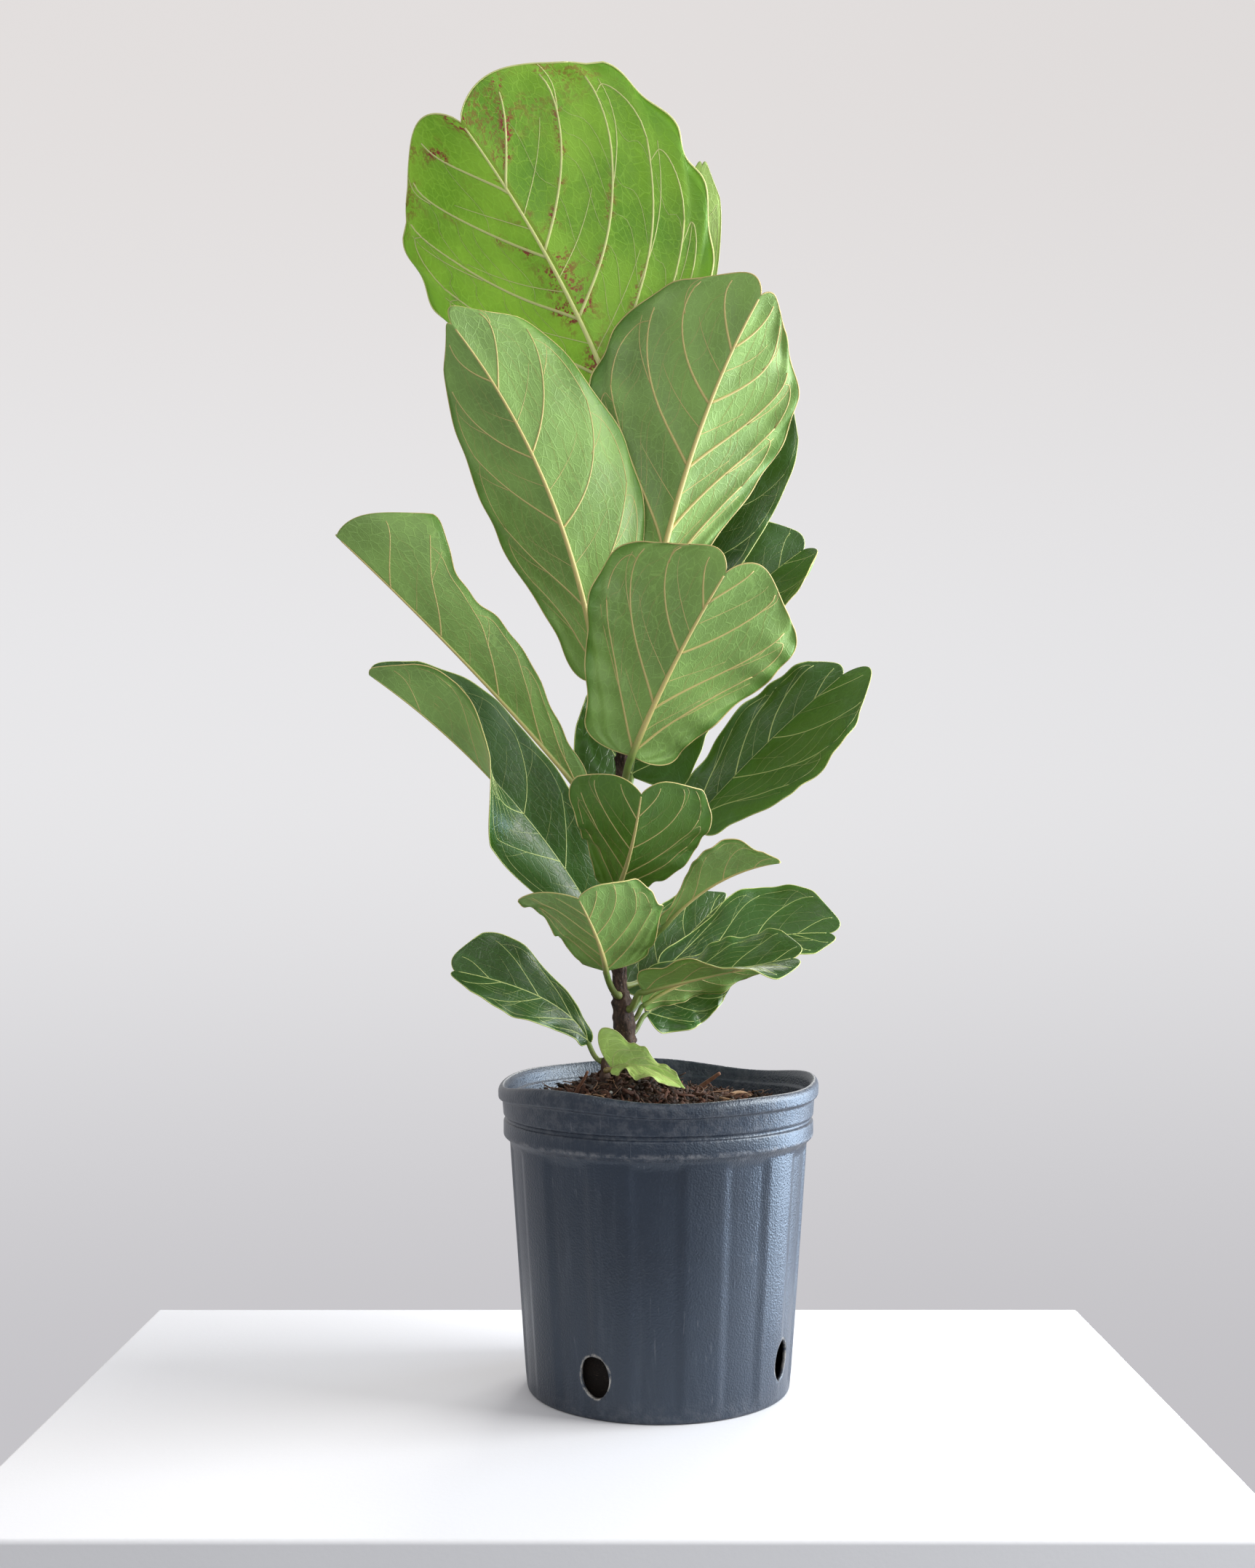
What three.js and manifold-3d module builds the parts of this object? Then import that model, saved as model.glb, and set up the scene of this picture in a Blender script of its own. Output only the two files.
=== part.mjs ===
// Potted fiddle leaf fig: a ribbed nursery pot, its potting mix, a woody stem, a low side shoot
// and the leaves. Millimetres, +Z up. The origin is on the pot's axis at its base.
import * as THREE from 'three';
import { mergeVertices } from 'three/addons/utils/BufferGeometryUtils.js';
import Module from 'manifold-3d';

const wasm = await Module();
wasm.setup();

const degrees = Math.PI / 180;
const fullTurn = Math.PI * 2;

// ---------------------------------------------------------------- driving sizes
const gap = 0.3; // clearance between neighbours that touch

// pot
const potHeight = 216;
const rimRadius = 114.5;
const rimOverBody = 8.2; // the rim beyond the top of the body
const bodyTaper = 12.8; // the top of the body beyond its base
const bodyTopRadius = rimRadius - rimOverBody;
const baseRadius = bodyTopRadius - bodyTaper;
const wallThickness = 2.4;
const floorThickness = 3;
const footChamfer = 2.5;
const lipHeight = 11;
const lipOverhang = 3; // the lip beyond the upper band
const upperBandHeight = 13.5;
const grooveHeight = 2.5;
const grooveDepth = 1.8;
const lowerBandHeight = 11;
const bandStep = 4.2; // the bands beyond the top of the body
const panelCount = 20; // ribs and recesses together
const panelDepth = 1.6;
const panelTurn = 7.5; // degrees, where the first ramp stands
const rimWave = 1.4;
const drainHoleCount = 4;
const drainHoleWidth = 23;
const drainHoleHeight = 28;
const drainHoleLift = 29; // the hole's centre above the table
const drainHoleTurn = -117.6; // degrees, one hole looks forward and left
const drainHoleSides = 18;
const drainCutLength = 40;

// potting mix
const soilDrop = 21; // its edge below the rim
const soilMound = 24; // its crest above its edge
const soilMoundRadius = 50;
const soilBump = 1.2;
const wallClearance = 0.5; // between the mix and the pot's wall

// stem and side shoot
const stemRootDepth = 60; // below the crest of the mix
const stemTopHeight = 566;
const stemFootRadius = 7;
const stemWaistRadius = 5;
const stemTopRadius = 3.4;
const stemWaistHeight = 288;
const stemTaperHeight = 262; // the foot narrows from here up to the waist
const budLength = 16;
const shootRadius = 3.2;
const shootRootDepth = 14;
const shootTopHeight = 233;
const shootPlace = [-38, -13]; // X and Y of its axis

// leaves
const bladeThickness = 2.2;
const marginThickness = 1.4;
const petioleRadius = 2.3;
const slimPetioleRadius = 1.5;
const slimLeafWidth = 32; // a narrower half than this has the slim petiole
const petiolePull = 0.35; // how far its bends reach, as a share of its length
const petioleInside = 0.1; // how far it runs on under the blade, as a share of the blade
const baseRounding = 0.12; // the share of the blade over which its base opens
const usualLobe = 0.35;
const usualNotch = 0.2;
const usualRuffle = 3; // height of the waves along the margin
const ruffleWaves = 2.5;
const cornerTrim = 0.08; // the share of the blade's length cut off its corners beside the tip

const drawnCrest = 219; // the crest of the mix that the stem line and the leaves are drawn for

// The stem's centre line: height, then its place in X and Y.
const stemLine = [
  [140, -22, 0],
  [246, -23.5, 0],
  [289, -28, 0],
  [343, -26.5, 0],
  [428, -27, 0],
  [496, -22, 0],
  [566, -15, 0],
];

// Places along a blade at which its half widths are given.
const widthPlaces = [0, 0.15, 0.35, 0.55, 0.75, 0.9, 1];

// The leaves. `joins` is the height at which the petiole leaves its stem. `base`, `middle` and `tip`
// are points of the midrib. `faces` is the way the upper face looks: degrees from +X, then upwards.
// `left` and `right` are the halves as seen on the upper face with the tip up: the half widths
// at the places above, the rise of the half from the midrib (cup) and its further bend towards
// the margin (curl) in degrees from base to tip, the forward lobe beside the tip (notch) and the
// backward lobe beside the petiole (lobe), both as shares of the width.
const leaves = [
  {
    name: 'leaf_crown', joins: 556, faces: [68, 8],
    base: [-5, 8, 629], middle: [-60, 14, 777], tip: [-144, 0, 913],
    left: { half: [30, 80, 118, 126, 110, 84], cup: [14, 14], notch: 0.12, lobe: 0.1 },
    right: { half: [38, 82, 108, 120, 112, 78], cup: [14, 20], curl: [0, 10], notch: 0.2, lobe: 0.1 },
    ruffle: 4,
  },
  {
    name: 'leaf_young', joins: 560, faces: [80, 6],
    base: [-8, 26, 625], middle: [18, 38, 765], tip: [34, 35, 894],
    left: { half: [10, 16, 19, 20, 16, 6], cup: 10 },
    right: { half: [10, 16, 19, 20, 16, 6], cup: 10 },
  },
  {
    name: 'leaf_upper_left', joins: 470, faces: [80, 10],
    base: [-42, -20, 501], middle: [-79, -35, 636], tip: [-144, -60, 745],
    left: { half: [36, 64, 69, 60, 46, 18], cup: [20, 20], curl: [40, 20], notch: 0.15, lobe: 0.2 },
    right: { half: [30, 54, 57, 50, 32, 8], cup: [25, 20], curl: [0, 10], notch: 0.05, lobe: 0.2 },
  },
  {
    name: 'leaf_upper_right', joins: 512, faces: [85, 10],
    base: [-7, -8, 546], middle: [28, -18, 675], tip: [73, -30, 775],
    left: { half: [26, 47, 62, 62, 38, 20], cup: [25, 25], notch: 0.1, lobe: 0.2 },
    right: { half: [36, 72, 92, 90, 70, 38], cup: [15, 20], notch: 0.12, lobe: 0.2 },
  },
  {
    name: 'leaf_upper_back', joins: 530, faces: [-70, 20],
    base: [5, 20, 552], middle: [52, 34, 630], tip: [94, 40, 711],
    left: { half: [14, 26, 36, 38, 30, 15], cup: 15 },
    right: { half: [20, 28, 30, 28, 22, 12], cup: 15 },
  },
  {
    name: 'leaf_back_right', joins: 480, faces: [-95, 20],
    base: [-8, 18, 497], middle: [58, 54, 564], tip: [112, 66, 609],
    left: { half: [25, 35, 40, 40, 35, 25], cup: 20, notch: 0.15 },
    right: { half: [35, 45, 50, 50, 40, 25], cup: 25, curl: [0, 60], notch: 0.15 },
  },
  {
    name: 'leaf_centre', joins: 424, faces: [85, 15],
    base: [-19, -35, 446], middle: [10, -55, 508], tip: [45, -75, 569],
    left: { half: [34, 50, 64, 74, 69, 50], cup: 20, notch: 0.22, lobe: 0.25 },
    right: { half: [44, 62, 76, 80, 66, 36], cup: 18, notch: 0.14, lobe: 0.25 },
  },
  {
    name: 'leaf_outer_left', joins: 394, faces: [55, 30],
    base: [-55, -10, 423], middle: [-133, -25, 509], tip: [-228, -30, 602],
    left: { half: [14, 32, 37, 42, 58, 48], cup: [20, 25], curl: [30, 40], notch: 0.1, corner: -0.3 },
    right: { half: [20, 40, 50, 45, 30, 10], cup: 60, notch: 0.05 },
  },
  {
    name: 'leaf_trough_left', joins: 306, faces: [-60, 30],
    base: [-42, -12, 326], middle: [-110, -30, 422], tip: [-202, -45, 502],
    left: {
      half: [26, 36, 40, 36, 28, 12], cup: [-5, 0, 5, 70, 120, 110], curl: [-30, -60, -30, 0, 0],
      notch: 0.05,
    },
    right: { half: [28, 34, 42, 40, 30, 18], cup: 30, notch: 0.05 },
  },
  {
    name: 'leaf_centre_back', joins: 418, faces: [-90, 20],
    base: [-19, 18, 434], middle: [-10, 40, 476], tip: [1, 58, 516],
    left: { half: [45, 48, 45, 40, 30, 15], cup: 15, lobe: 0.5 },
    right: { half: [43, 48, 50, 40, 30, 15], cup: 10, lobe: 0.45 },
  },
  {
    name: 'leaf_outer_right', joins: 372, faces: [-110, 25],
    base: [26, 10, 401], middle: [78, 5, 456], tip: [133, -5, 506],
    left: { half: [22, 28, 31, 30, 24, 16], cup: [30, 30], notch: 0.12 },
    right: { half: [32, 56, 61, 60, 50, 38], cup: 20, notch: 0.3 },
  },
  {
    name: 'leaf_front', joins: 330, faces: [85, 40],
    base: [-30, -45, 351], middle: [-20, -90, 379], tip: [-13, -125, 416],
    left: { half: [24, 40, 47, 50, 42, 28], cup: 15, notch: 0.1, corner: 0.2 },
    right: { half: [18, 29, 38, 48, 46, 34], cup: 15, notch: 0.1, corner: 0.2 },
  },
  {
    name: 'leaf_lower_front', joins: 276, faces: [95, 50],
    base: [-37, -40, 296], middle: [-42, -80, 319], tip: [-54, -120, 348],
    left: { half: [32, 40, 48, 46, 40, 30], cup: 15, notch: 0.1 },
    right: { half: [18, 28, 30, 36, 46, 52], cup: 20, notch: 0.1 },
  },
  {
    name: 'leaf_slim_right', joins: 299, faces: [110, 40],
    base: [3, -40, 327], middle: [39, -60, 357], tip: [80, -80, 371],
    left: { half: [14, 22, 24, 18, 10, 4], cup: 60, notch: 0.05 },
    right: { half: [8, 14, 27, 24, 12, 5], cup: [15, 25], notch: 0.05 },
  },
  {
    name: 'leaf_low_back_right', joins: 282, faces: [-95, 40],
    base: [4, 32, 292], middle: [66, 46, 312], tip: [128, 44, 318],
    left: { half: [14, 26, 40, 41, 34, 20], cup: 15 },
    right: { half: [12, 18, 24, 26, 24, 16], cup: 15 },
  },
  {
    name: 'leaf_low_back', joins: 262, faces: [-95, 35],
    base: [-12, 34, 271], middle: [18, 68, 308], tip: [52, 95, 340],
    left: { half: [25, 32, 35, 30, 22, 10], cup: 15 },
    right: { half: [25, 32, 35, 30, 22, 10], cup: 15 },
  },
  {
    name: 'leaf_curled_right', joins: 266, faces: [-95, 60],
    base: [-11, -15, 280], middle: [44, -35, 294], tip: [92, -50, 305],
    left: { half: [20, 26, 30, 34, 30, 20], cup: [20, 10] },
    right: { half: [18, 22, 26, 30, 28, 18], cup: [100, 0] },
  },
  {
    name: 'leaf_low_right', joins: 258, faces: [100, 35],
    base: [-10, 2, 269], middle: [28, 6, 287], tip: [71, 6, 293],
    left: { half: [14, 20, 24, 20, 12, 5], cup: 15 },
    right: { half: [8, 10, 12, 10, 7, 4], cup: 15 },
  },
  {
    name: 'leaf_lowest_right', joins: 248, faces: [-95, 10],
    base: [-8, 15, 261], middle: [20, 28, 273], tip: [50, 30, 284],
    left: { half: [8, 9, 9, 8, 6, 3], cup: 15 },
    right: { half: [20, 26, 24, 20, 14, 7], cup: 15 },
  },
  {
    name: 'leaf_low_left', joins: 230, onShoot: true, faces: [-85, 25],
    base: [-50, -8, 243], middle: [-80, -20, 274], tip: [-143, -30, 295],
    left: { half: [9, 16, 22, 21, 15, 8], cup: 12, notch: 0.12 },
    right: { half: [6, 10, 19, 30, 32, 20], cup: 12, notch: 0.12 },
  },
  {
    name: 'leaf_sprout', joins: 224, onShoot: true, faces: [-60, 70],
    base: [-33, -22, 226], middle: [-14, -31, 229], tip: [13, -42, 217],
    left: { half: [26, 16, 10, 9, 6, 2], cup: [85, 20], lobe: 0.1 },
    right: { half: [7, 9, 12, 12, 8, 3], cup: [-30, 0] },
  },
];

// ---------------------------------------------------------------- small maths
function smooth(from, to, value) {
  const x = Math.min(1, Math.max(0, (value - from) / (to - from)));
  return x * x * (3 - 2 * x);
}

// A value along a leaf: one number, or evenly spaced numbers from base to tip.
function along(values, t) {
  if (!Array.isArray(values)) return values;
  const place = t * (values.length - 1);
  const index = Math.min(values.length - 2, Math.floor(place));
  return values[index] + (values[index + 1] - values[index]) * (place - index);
}

// A smooth curve through (xs, ys), with each slope taken from its neighbours.
function through(xs, ys, x) {
  const last = xs.length - 1;
  let k = 0;
  while (k < last - 1 && x >= xs[k + 1]) k += 1;
  const slope = (i) => {
    const before = Math.max(0, i - 1);
    const after = Math.min(last, i + 1);
    return (ys[after] - ys[before]) / (xs[after] - xs[before]);
  };
  const step = xs[k + 1] - xs[k];
  const s = (x - xs[k]) / step;
  const start = (2 * s ** 3 - 3 * s ** 2 + 1) * ys[k] + (s ** 3 - 2 * s ** 2 + s) * step * slope(k);
  const end = (3 * s ** 2 - 2 * s ** 3) * ys[k + 1] + (s ** 3 - s ** 2) * step * slope(k + 1);
  return start + end;
}

const vector = (list) => new THREE.Vector3(...list);

function direction([azimuth, elevation]) {
  const a = azimuth * degrees;
  const e = elevation * degrees;
  return vector([Math.cos(a) * Math.cos(e), Math.sin(a) * Math.cos(e), Math.sin(e)]);
}

// ---------------------------------------------------------------- meshes and solids
// Merges shared vertices, drops triangles of no area and turns the faces outwards.
function tidyGeometry(geometry) {
  geometry.deleteAttribute('normal');
  geometry.deleteAttribute('uv');
  const merged = mergeVertices(geometry, 1e-4);
  const position = merged.attributes.position;
  const corner = [new THREE.Vector3(), new THREE.Vector3(), new THREE.Vector3()];
  const kept = [];
  let volume = 0;
  for (let i = 0; i < merged.index.count; i += 3) {
    const ids = [0, 1, 2].map((j) => merged.index.getX(i + j));
    if (new Set(ids).size === 3) {
      ids.forEach((id, j) => corner[j].fromBufferAttribute(position, id));
      volume += corner[0].dot(corner[1].clone().cross(corner[2]));
      kept.push(ids);
    }
  }
  merged.setIndex(kept.flatMap(([a, b, c]) => (volume > 0 ? [a, b, c] : [a, c, b])));
  return merged;
}

function toSolid(geometry) {
  const tidy = tidyGeometry(geometry);
  const triVerts = Uint32Array.from(tidy.index.array);
  const vertProperties = Float32Array.from(tidy.attributes.position.array);
  return new wasm.Manifold(new wasm.Mesh({ numProp: 3, vertProperties, triVerts }));
}

function toGeometry(solid) {
  const mesh = solid.getMesh();
  const geometry = new THREE.BufferGeometry();
  geometry.setAttribute('position', new THREE.BufferAttribute(mesh.vertProperties, 3));
  geometry.setIndex(new THREE.BufferAttribute(mesh.triVerts, 1));
  return geometry;
}

function reshape(geometry, rule) {
  const position = geometry.attributes.position;
  const point = new THREE.Vector3();
  for (let i = 0; i < position.count; i += 1) {
    point.fromBufferAttribute(position, i);
    rule(point);
    position.setXYZ(i, point.x, point.y, point.z);
  }
  return geometry;
}

// Turns a profile of [radius, height] pairs about +Z.
function turned(profile, segments, startAngle = 0) {
  const points = profile.map(([radius, height]) => new THREE.Vector2(radius, height));
  const geometry = new THREE.LatheGeometry(points, segments, startAngle, fullTurn);
  return geometry.rotateX(Math.PI / 2);
}

// A closed skin over rings that each run out and back, so that point i faces point n - 1 - i.
// Facing quads are split along facing diagonals, so a thin twisted blade doesn't cross itself.
function skin(rings) {
  const count = rings[0].length;
  const index = [];
  for (let ring = 0; ring < rings.length - 1; ring += 1) {
    for (let i = 0; i < count; i += 1) {
      const a = ring * count + i;
      const b = ring * count + ((i + 1) % count);
      if (i < count / 2) index.push(a, b, b + count, a, b + count, a + count);
      else index.push(a, b, a + count, b, b + count, a + count);
    }
  }
  const end = (rings.length - 1) * count;
  for (let i = 0; i < count / 2 - 1; i += 1) {
    const j = count - 1 - i;
    index.push(i, j, j - 1, i, j - 1, i + 1);
    index.push(end + i, end + i + 1, end + j - 1, end + i, end + j - 1, end + j);
  }
  const geometry = new THREE.BufferGeometry();
  const positions = rings.flat().flatMap((p) => [p.x, p.y, p.z]);
  geometry.setAttribute('position', new THREE.Float32BufferAttribute(positions, 3));
  geometry.setIndex(index);
  return geometry;
}

// ---------------------------------------------------------------- pot
const lipBottom = potHeight - lipHeight;
const upperBandBottom = lipBottom - upperBandHeight;
const grooveBottom = upperBandBottom - grooveHeight;
const lowerBandBottom = grooveBottom - lowerBandHeight;
const bandRadius = bodyTopRadius + bandStep;
const mouthRadius = rimRadius - lipOverhang - wallThickness;

function bodyRadius(height) {
  return baseRadius + ((bodyTopRadius - baseRadius) * height) / lowerBandBottom;
}

function innerRadius(height) {
  const throat = bodyTopRadius - panelDepth - wallThickness;
  if (height < lowerBandBottom) return bodyRadius(height) - panelDepth - wallThickness;
  const rise = (height - lowerBandBottom) / (potHeight - lowerBandBottom);
  return throat + (mouthRadius - throat) * rise;
}

// 0 on a rib, 1 in a recess, with a short ramp between them.
function recess(angle) {
  const period = (2 * fullTurn) / panelCount;
  const turn = (((angle - panelTurn * degrees) / period) % 1) + 1;
  const place = turn % 1;
  const inside = place < 0.5 ? Math.min(place, 0.5 - place) : -Math.min(place - 0.5, 1 - place);
  return smooth(-0.09, 0.09, inside);
}

function makePot() {
  const roll = lipHeight / 5;
  const profile = [
    [0, 0],
    [baseRadius - footChamfer, 0],
    [baseRadius, footChamfer],
    [bodyRadius(lowerBandBottom / 2), lowerBandBottom / 2],
    [bodyRadius(lowerBandBottom), lowerBandBottom - bandStep],
    [bandRadius, lowerBandBottom],
    [bandRadius, grooveBottom - 1],
    [bandRadius - grooveDepth, grooveBottom],
    [bandRadius - grooveDepth, upperBandBottom],
    [bandRadius, upperBandBottom + 1],
    [rimRadius - lipOverhang, lipBottom],
    [rimRadius, lipBottom + roll],
    [rimRadius, potHeight - roll],
    [rimRadius - roll, potHeight],
    [mouthRadius + roll / 2, potHeight],
    [innerRadius(potHeight - roll), potHeight - roll],
    [innerRadius(lowerBandBottom), lowerBandBottom],
    [innerRadius(floorThickness), floorThickness],
    [0, floorThickness],
  ];
  const segments = panelCount * 3;
  const startAngle = (panelTurn - fullTurn / degrees / segments / 2) * degrees;
  const shell = turned(profile, segments, startAngle);
  reshape(shell, (p) => {
    const radius = Math.hypot(p.x, p.y);
    const angle = Math.atan2(p.y, p.x);
    const onBody = p.z > footChamfer / 2 && p.z < lowerBandBottom - 1;
    if (onBody && radius > innerRadius(p.z) + wallThickness / 2) {
      const scale = 1 - (panelDepth * recess(angle)) / radius;
      p.x *= scale;
      p.y *= scale;
    }
    const wave = Math.sin(3 * angle + 1.9) + 0.6 * Math.sin(5 * angle + 0.4);
    p.z += smooth(upperBandBottom, potHeight, p.z) * rimWave * wave;
  });
  let solid = toSolid(shell);
  for (let i = 0; i < drainHoleCount; i += 1) {
    const size = drainHoleWidth / 2;
    const plug = new THREE.CylinderGeometry(size, size, drainCutLength, drainHoleSides);
    plug.rotateZ(Math.PI / 2);
    plug.scale(1, 1, drainHoleHeight / drainHoleWidth);
    plug.translate(baseRadius, 0, drainHoleLift);
    plug.rotateZ(drainHoleTurn * degrees + (i * fullTurn) / drainHoleCount);
    solid = solid.subtract(toSolid(plug));
  }
  return toGeometry(solid);
}

// ---------------------------------------------------------------- stem and side shoot
const soilEdge = potHeight - soilDrop;
const soilCrest = soilEdge + soilMound;
const plantLift = soilCrest - drawnCrest; // the whole plant rises and sinks with the mix

function stemCentre(height) {
  const heights = stemLine.map(([z]) => z);
  const x = through(heights, stemLine.map((row) => row[1]), height);
  const y = through(heights, stemLine.map((row) => row[2]), height);
  return vector([x, y, height]);
}

function stemRadius(height) {
  const narrowed = smooth(stemTaperHeight, stemWaistHeight, height);
  const foot = stemFootRadius + (stemWaistRadius - stemFootRadius) * narrowed;
  const share = (height - stemWaistHeight) / (stemTopHeight - stemWaistHeight);
  return height < stemWaistHeight ? foot : foot + (stemTopRadius - stemWaistRadius) * share;
}

function makeStem(extra) {
  const bottom = drawnCrest - stemRootDepth;
  const profile = [[0, bottom - extra], [stemRadius(bottom) * 0.6 + extra, bottom - extra]];
  const steps = 26;
  for (let i = 1; i <= steps; i += 1) {
    const height = bottom + ((stemTopHeight - bottom) * i) / steps;
    profile.push([stemRadius(height) + extra, height]);
  }
  profile.push([0, stemTopHeight + budLength + extra]);
  return reshape(turned(profile, 12), (p) => {
    const centre = stemCentre(Math.min(p.z, stemTopHeight));
    p.x += centre.x;
    p.y += centre.y;
    p.z += plantLift;
  });
}

function makeShoot(extra) {
  const edge = soilEdge - plantLift;
  const bottom = edge - shootRootDepth;
  const profile = [
    [0, bottom - extra],
    [shootRadius / 2 + extra, bottom - extra],
    [shootRadius + extra, edge],
    [shootRadius + extra, shootTopHeight - shootRadius],
    [shootRadius / 2 + extra, shootTopHeight],
    [0, shootTopHeight + extra],
  ];
  return turned(profile, 10).translate(...shootPlace, plantLift);
}

// ---------------------------------------------------------------- potting mix
function soilHeight(x, y) {
  const centre = stemCentre(drawnCrest);
  const fromStem = Math.hypot(x - centre.x, y - centre.y) / soilMoundRadius;
  const bumps = Math.sin(x * 0.17 + 1) * Math.cos(y * 0.14) + Math.sin(x * 0.07 - y * 0.11);
  return soilEdge + soilMound * Math.exp(-(fromStem ** 2)) + soilBump * bumps;
}

function makeSoil() {
  const floor = floorThickness + gap;
  const radiusAt = (height) => innerRadius(height) - wallClearance;
  const profile = [[0, floor], [radiusAt(floor), floor]];
  [drainHoleLift, lowerBandBottom / 2, lowerBandBottom].forEach((height) => {
    profile.push([radiusAt(height), height]);
  });
  const rings = 7;
  for (let i = 0; i < rings; i += 1) {
    profile.push([radiusAt(soilEdge - 4) * (1 - i / rings), soilEdge]);
  }
  profile.push([0, soilEdge]);
  const heap = reshape(turned(profile, 30), (p) => {
    if (p.z > soilEdge - 1) p.z = soilHeight(p.x, p.y);
  });
  const solid = toSolid(heap).subtract(toSolid(makeStem(gap))).subtract(toSolid(makeShoot(gap)));
  return toGeometry(solid);
}

// ---------------------------------------------------------------- leaves
function midrib(leaf, t) {
  const [base, middle, tip] = [leaf.base, leaf.middle, leaf.tip].map(vector);
  const control = middle.clone().multiplyScalar(2).sub(base.clone().add(tip).multiplyScalar(0.5));
  const curve = new THREE.QuadraticBezierCurve3(base, control, tip);
  return { point: curve.getPoint(t), tangent: curve.getTangent(t) };
}

// Points of one half of the blade's middle surface, from the midrib (0) to the margin (1).
function bladeRow(leaf, side, t, shares) {
  const half = side < 0 ? leaf.left : leaf.right;
  const { point, tangent } = midrib(leaf, t);
  const up = direction(leaf.faces);
  up.addScaledVector(tangent, -up.dot(tangent)).normalize();
  const across = tangent.clone().cross(up);
  const widest = Math.max(...half.half);
  const baseRise = Math.sqrt(1 - (1 - Math.min(1, t / baseRounding)) ** 2);
  const curve = through(widthPlaces, [half.half[0] * 0.9, ...half.half], t);
  const width = Math.max(petioleRadius, baseRise * curve);
  const cup = along(half.cup, t) * degrees;
  const curl = along(half.curl ?? 0, t) * degrees;
  const waveStart = side < 0 ? 0 : 2.1;
  const waves = Math.sin(fullTurn * ruffleWaves * t + waveStart) * Math.sqrt(Math.sin(Math.PI * t));
  let out = 0;
  let rise = 0;
  return shares.map((share, i) => {
    if (i > 0) {
      const step = (share - shares[i - 1]) * width;
      const angle = cup + curl * ((share + shares[i - 1]) / 2) ** 1.5;
      out += step * Math.cos(angle);
      rise += step * Math.sin(angle);
    }
    const lobe = (half.lobe ?? usualLobe) * width * (1 - smooth(0, 0.4, t)) * share ** 1.3;
    const shoulder = (half.notch ?? usualNotch) * Math.sin(Math.PI * share ** 0.75);
    const corner = (half.corner ?? 0) * share * smooth(0.45, 1, t);
    const forward = widest * (shoulder * smooth(0.55, 1, t) + corner) - lobe;
    const lift = rise + (leaf.ruffle ?? usualRuffle) * waves * share ** 2;
    return point.clone()
      .addScaledVector(across, side * out)
      .addScaledVector(up, lift)
      .addScaledVector(tangent, forward);
  });
}

function makeBlade(leaf) {
  const rows = [0, 0.06, 0.2, 0.38, 0.56, 0.74, 0.9, 1];
  const shares = [0, 0.35, 0.7, 1];
  const halfRow = (side, t) => shares.map((share, i) => {
    const trimmed = t * (1 - cornerTrim * share ** 4);
    return bladeRow(leaf, side, trimmed, shares)[i];
  });
  const grid = rows.map((t) => [...halfRow(-1, t).slice(1).reverse(), ...halfRow(1, t)]);
  const columns = grid[0].length;
  const centre = (columns - 1) / 2;
  const rings = grid.map((row, r) => {
    const before = grid[Math.max(0, r - 1)];
    const after = grid[Math.min(grid.length - 1, r + 1)];
    const offsets = row.map((point, i) => {
      const acrossBlade = row[Math.min(columns - 1, i + 1)].clone().sub(row[Math.max(0, i - 1)]);
      const alongBlade = after[i].clone().sub(before[i]);
      const thin = Math.abs(i - centre) / centre;
      const thickness = bladeThickness + (marginThickness - bladeThickness) * thin;
      return acrossBlade.cross(alongBlade).normalize().multiplyScalar(thickness / 2);
    });
    const upper = row.map((point, i) => point.clone().add(offsets[i]));
    const lower = row.map((point, i) => point.clone().sub(offsets[i]));
    return [...upper, ...lower.reverse()];
  });
  return skin(rings);
}

// The petiole leaves its stem level, then bends into the midrib and runs a little way under it.
function makePetiole(leaf) {
  const { point, tangent } = midrib(leaf, 0);
  const stemPoint = leaf.onShoot ? vector([...shootPlace, leaf.joins]) : stemCentre(leaf.joins);
  const stemSize = leaf.onShoot ? shootRadius : stemRadius(leaf.joins);
  const outward = point.clone().sub(stemPoint).setZ(0).normalize();
  const slim = Math.max(...leaf.left.half, ...leaf.right.half) < slimLeafWidth;
  const radius = slim ? slimPetioleRadius : petioleRadius;
  const start = stemPoint.addScaledVector(outward, stemSize + 2 * gap);
  const reach = start.distanceTo(point);
  const first = start.clone().addScaledVector(outward, reach * petiolePull);
  const second = point.clone().addScaledVector(tangent, -reach * petiolePull);
  const curve = new THREE.CubicBezierCurve3(start, first, second, point);
  const inside = midrib(leaf, petioleInside).point;
  const centres = [...curve.getPoints(4), inside];
  const sides = 6;
  const rings = centres.map((centre, i) => {
    const before = centres[Math.max(0, i - 1)];
    const after = centres[Math.min(centres.length - 1, i + 1)];
    const forward = i === 0 ? outward.clone() : after.clone().sub(before).normalize();
    const level = new THREE.Vector3(0, 0, 1).cross(forward).normalize();
    const upright = forward.clone().cross(level);
    const size = i === centres.length - 1 ? radius * 0.5 : radius;
    return Array.from({ length: sides }, (_, k) => {
      const angle = (k * fullTurn) / sides;
      return centre.clone()
        .addScaledVector(level, size * Math.cos(angle))
        .addScaledVector(upright, size * Math.sin(angle));
    });
  });
  return skin(rings);
}

function makeLeaf(leaf) {
  const solid = toSolid(makeBlade(leaf)).add(toSolid(makePetiole(leaf)));
  return toGeometry(solid).translate(0, 0, plantLift);
}

// ---------------------------------------------------------------- assembly
const plastic = new THREE.MeshStandardMaterial({ color: '#2b2f38', roughness: 0.5, metalness: 0 });
const mix = new THREE.MeshStandardMaterial({ color: '#33241b', roughness: 0.95, metalness: 0 });
const bark = new THREE.MeshStandardMaterial({ color: '#4a372c', roughness: 0.85, metalness: 0 });
const leafGreen = new THREE.MeshStandardMaterial({ color: '#3f7a33', roughness: 0.45, metalness: 0 });
const youngGreen = new THREE.MeshStandardMaterial({ color: '#a9c46a', roughness: 0.5, metalness: 0 });

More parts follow.
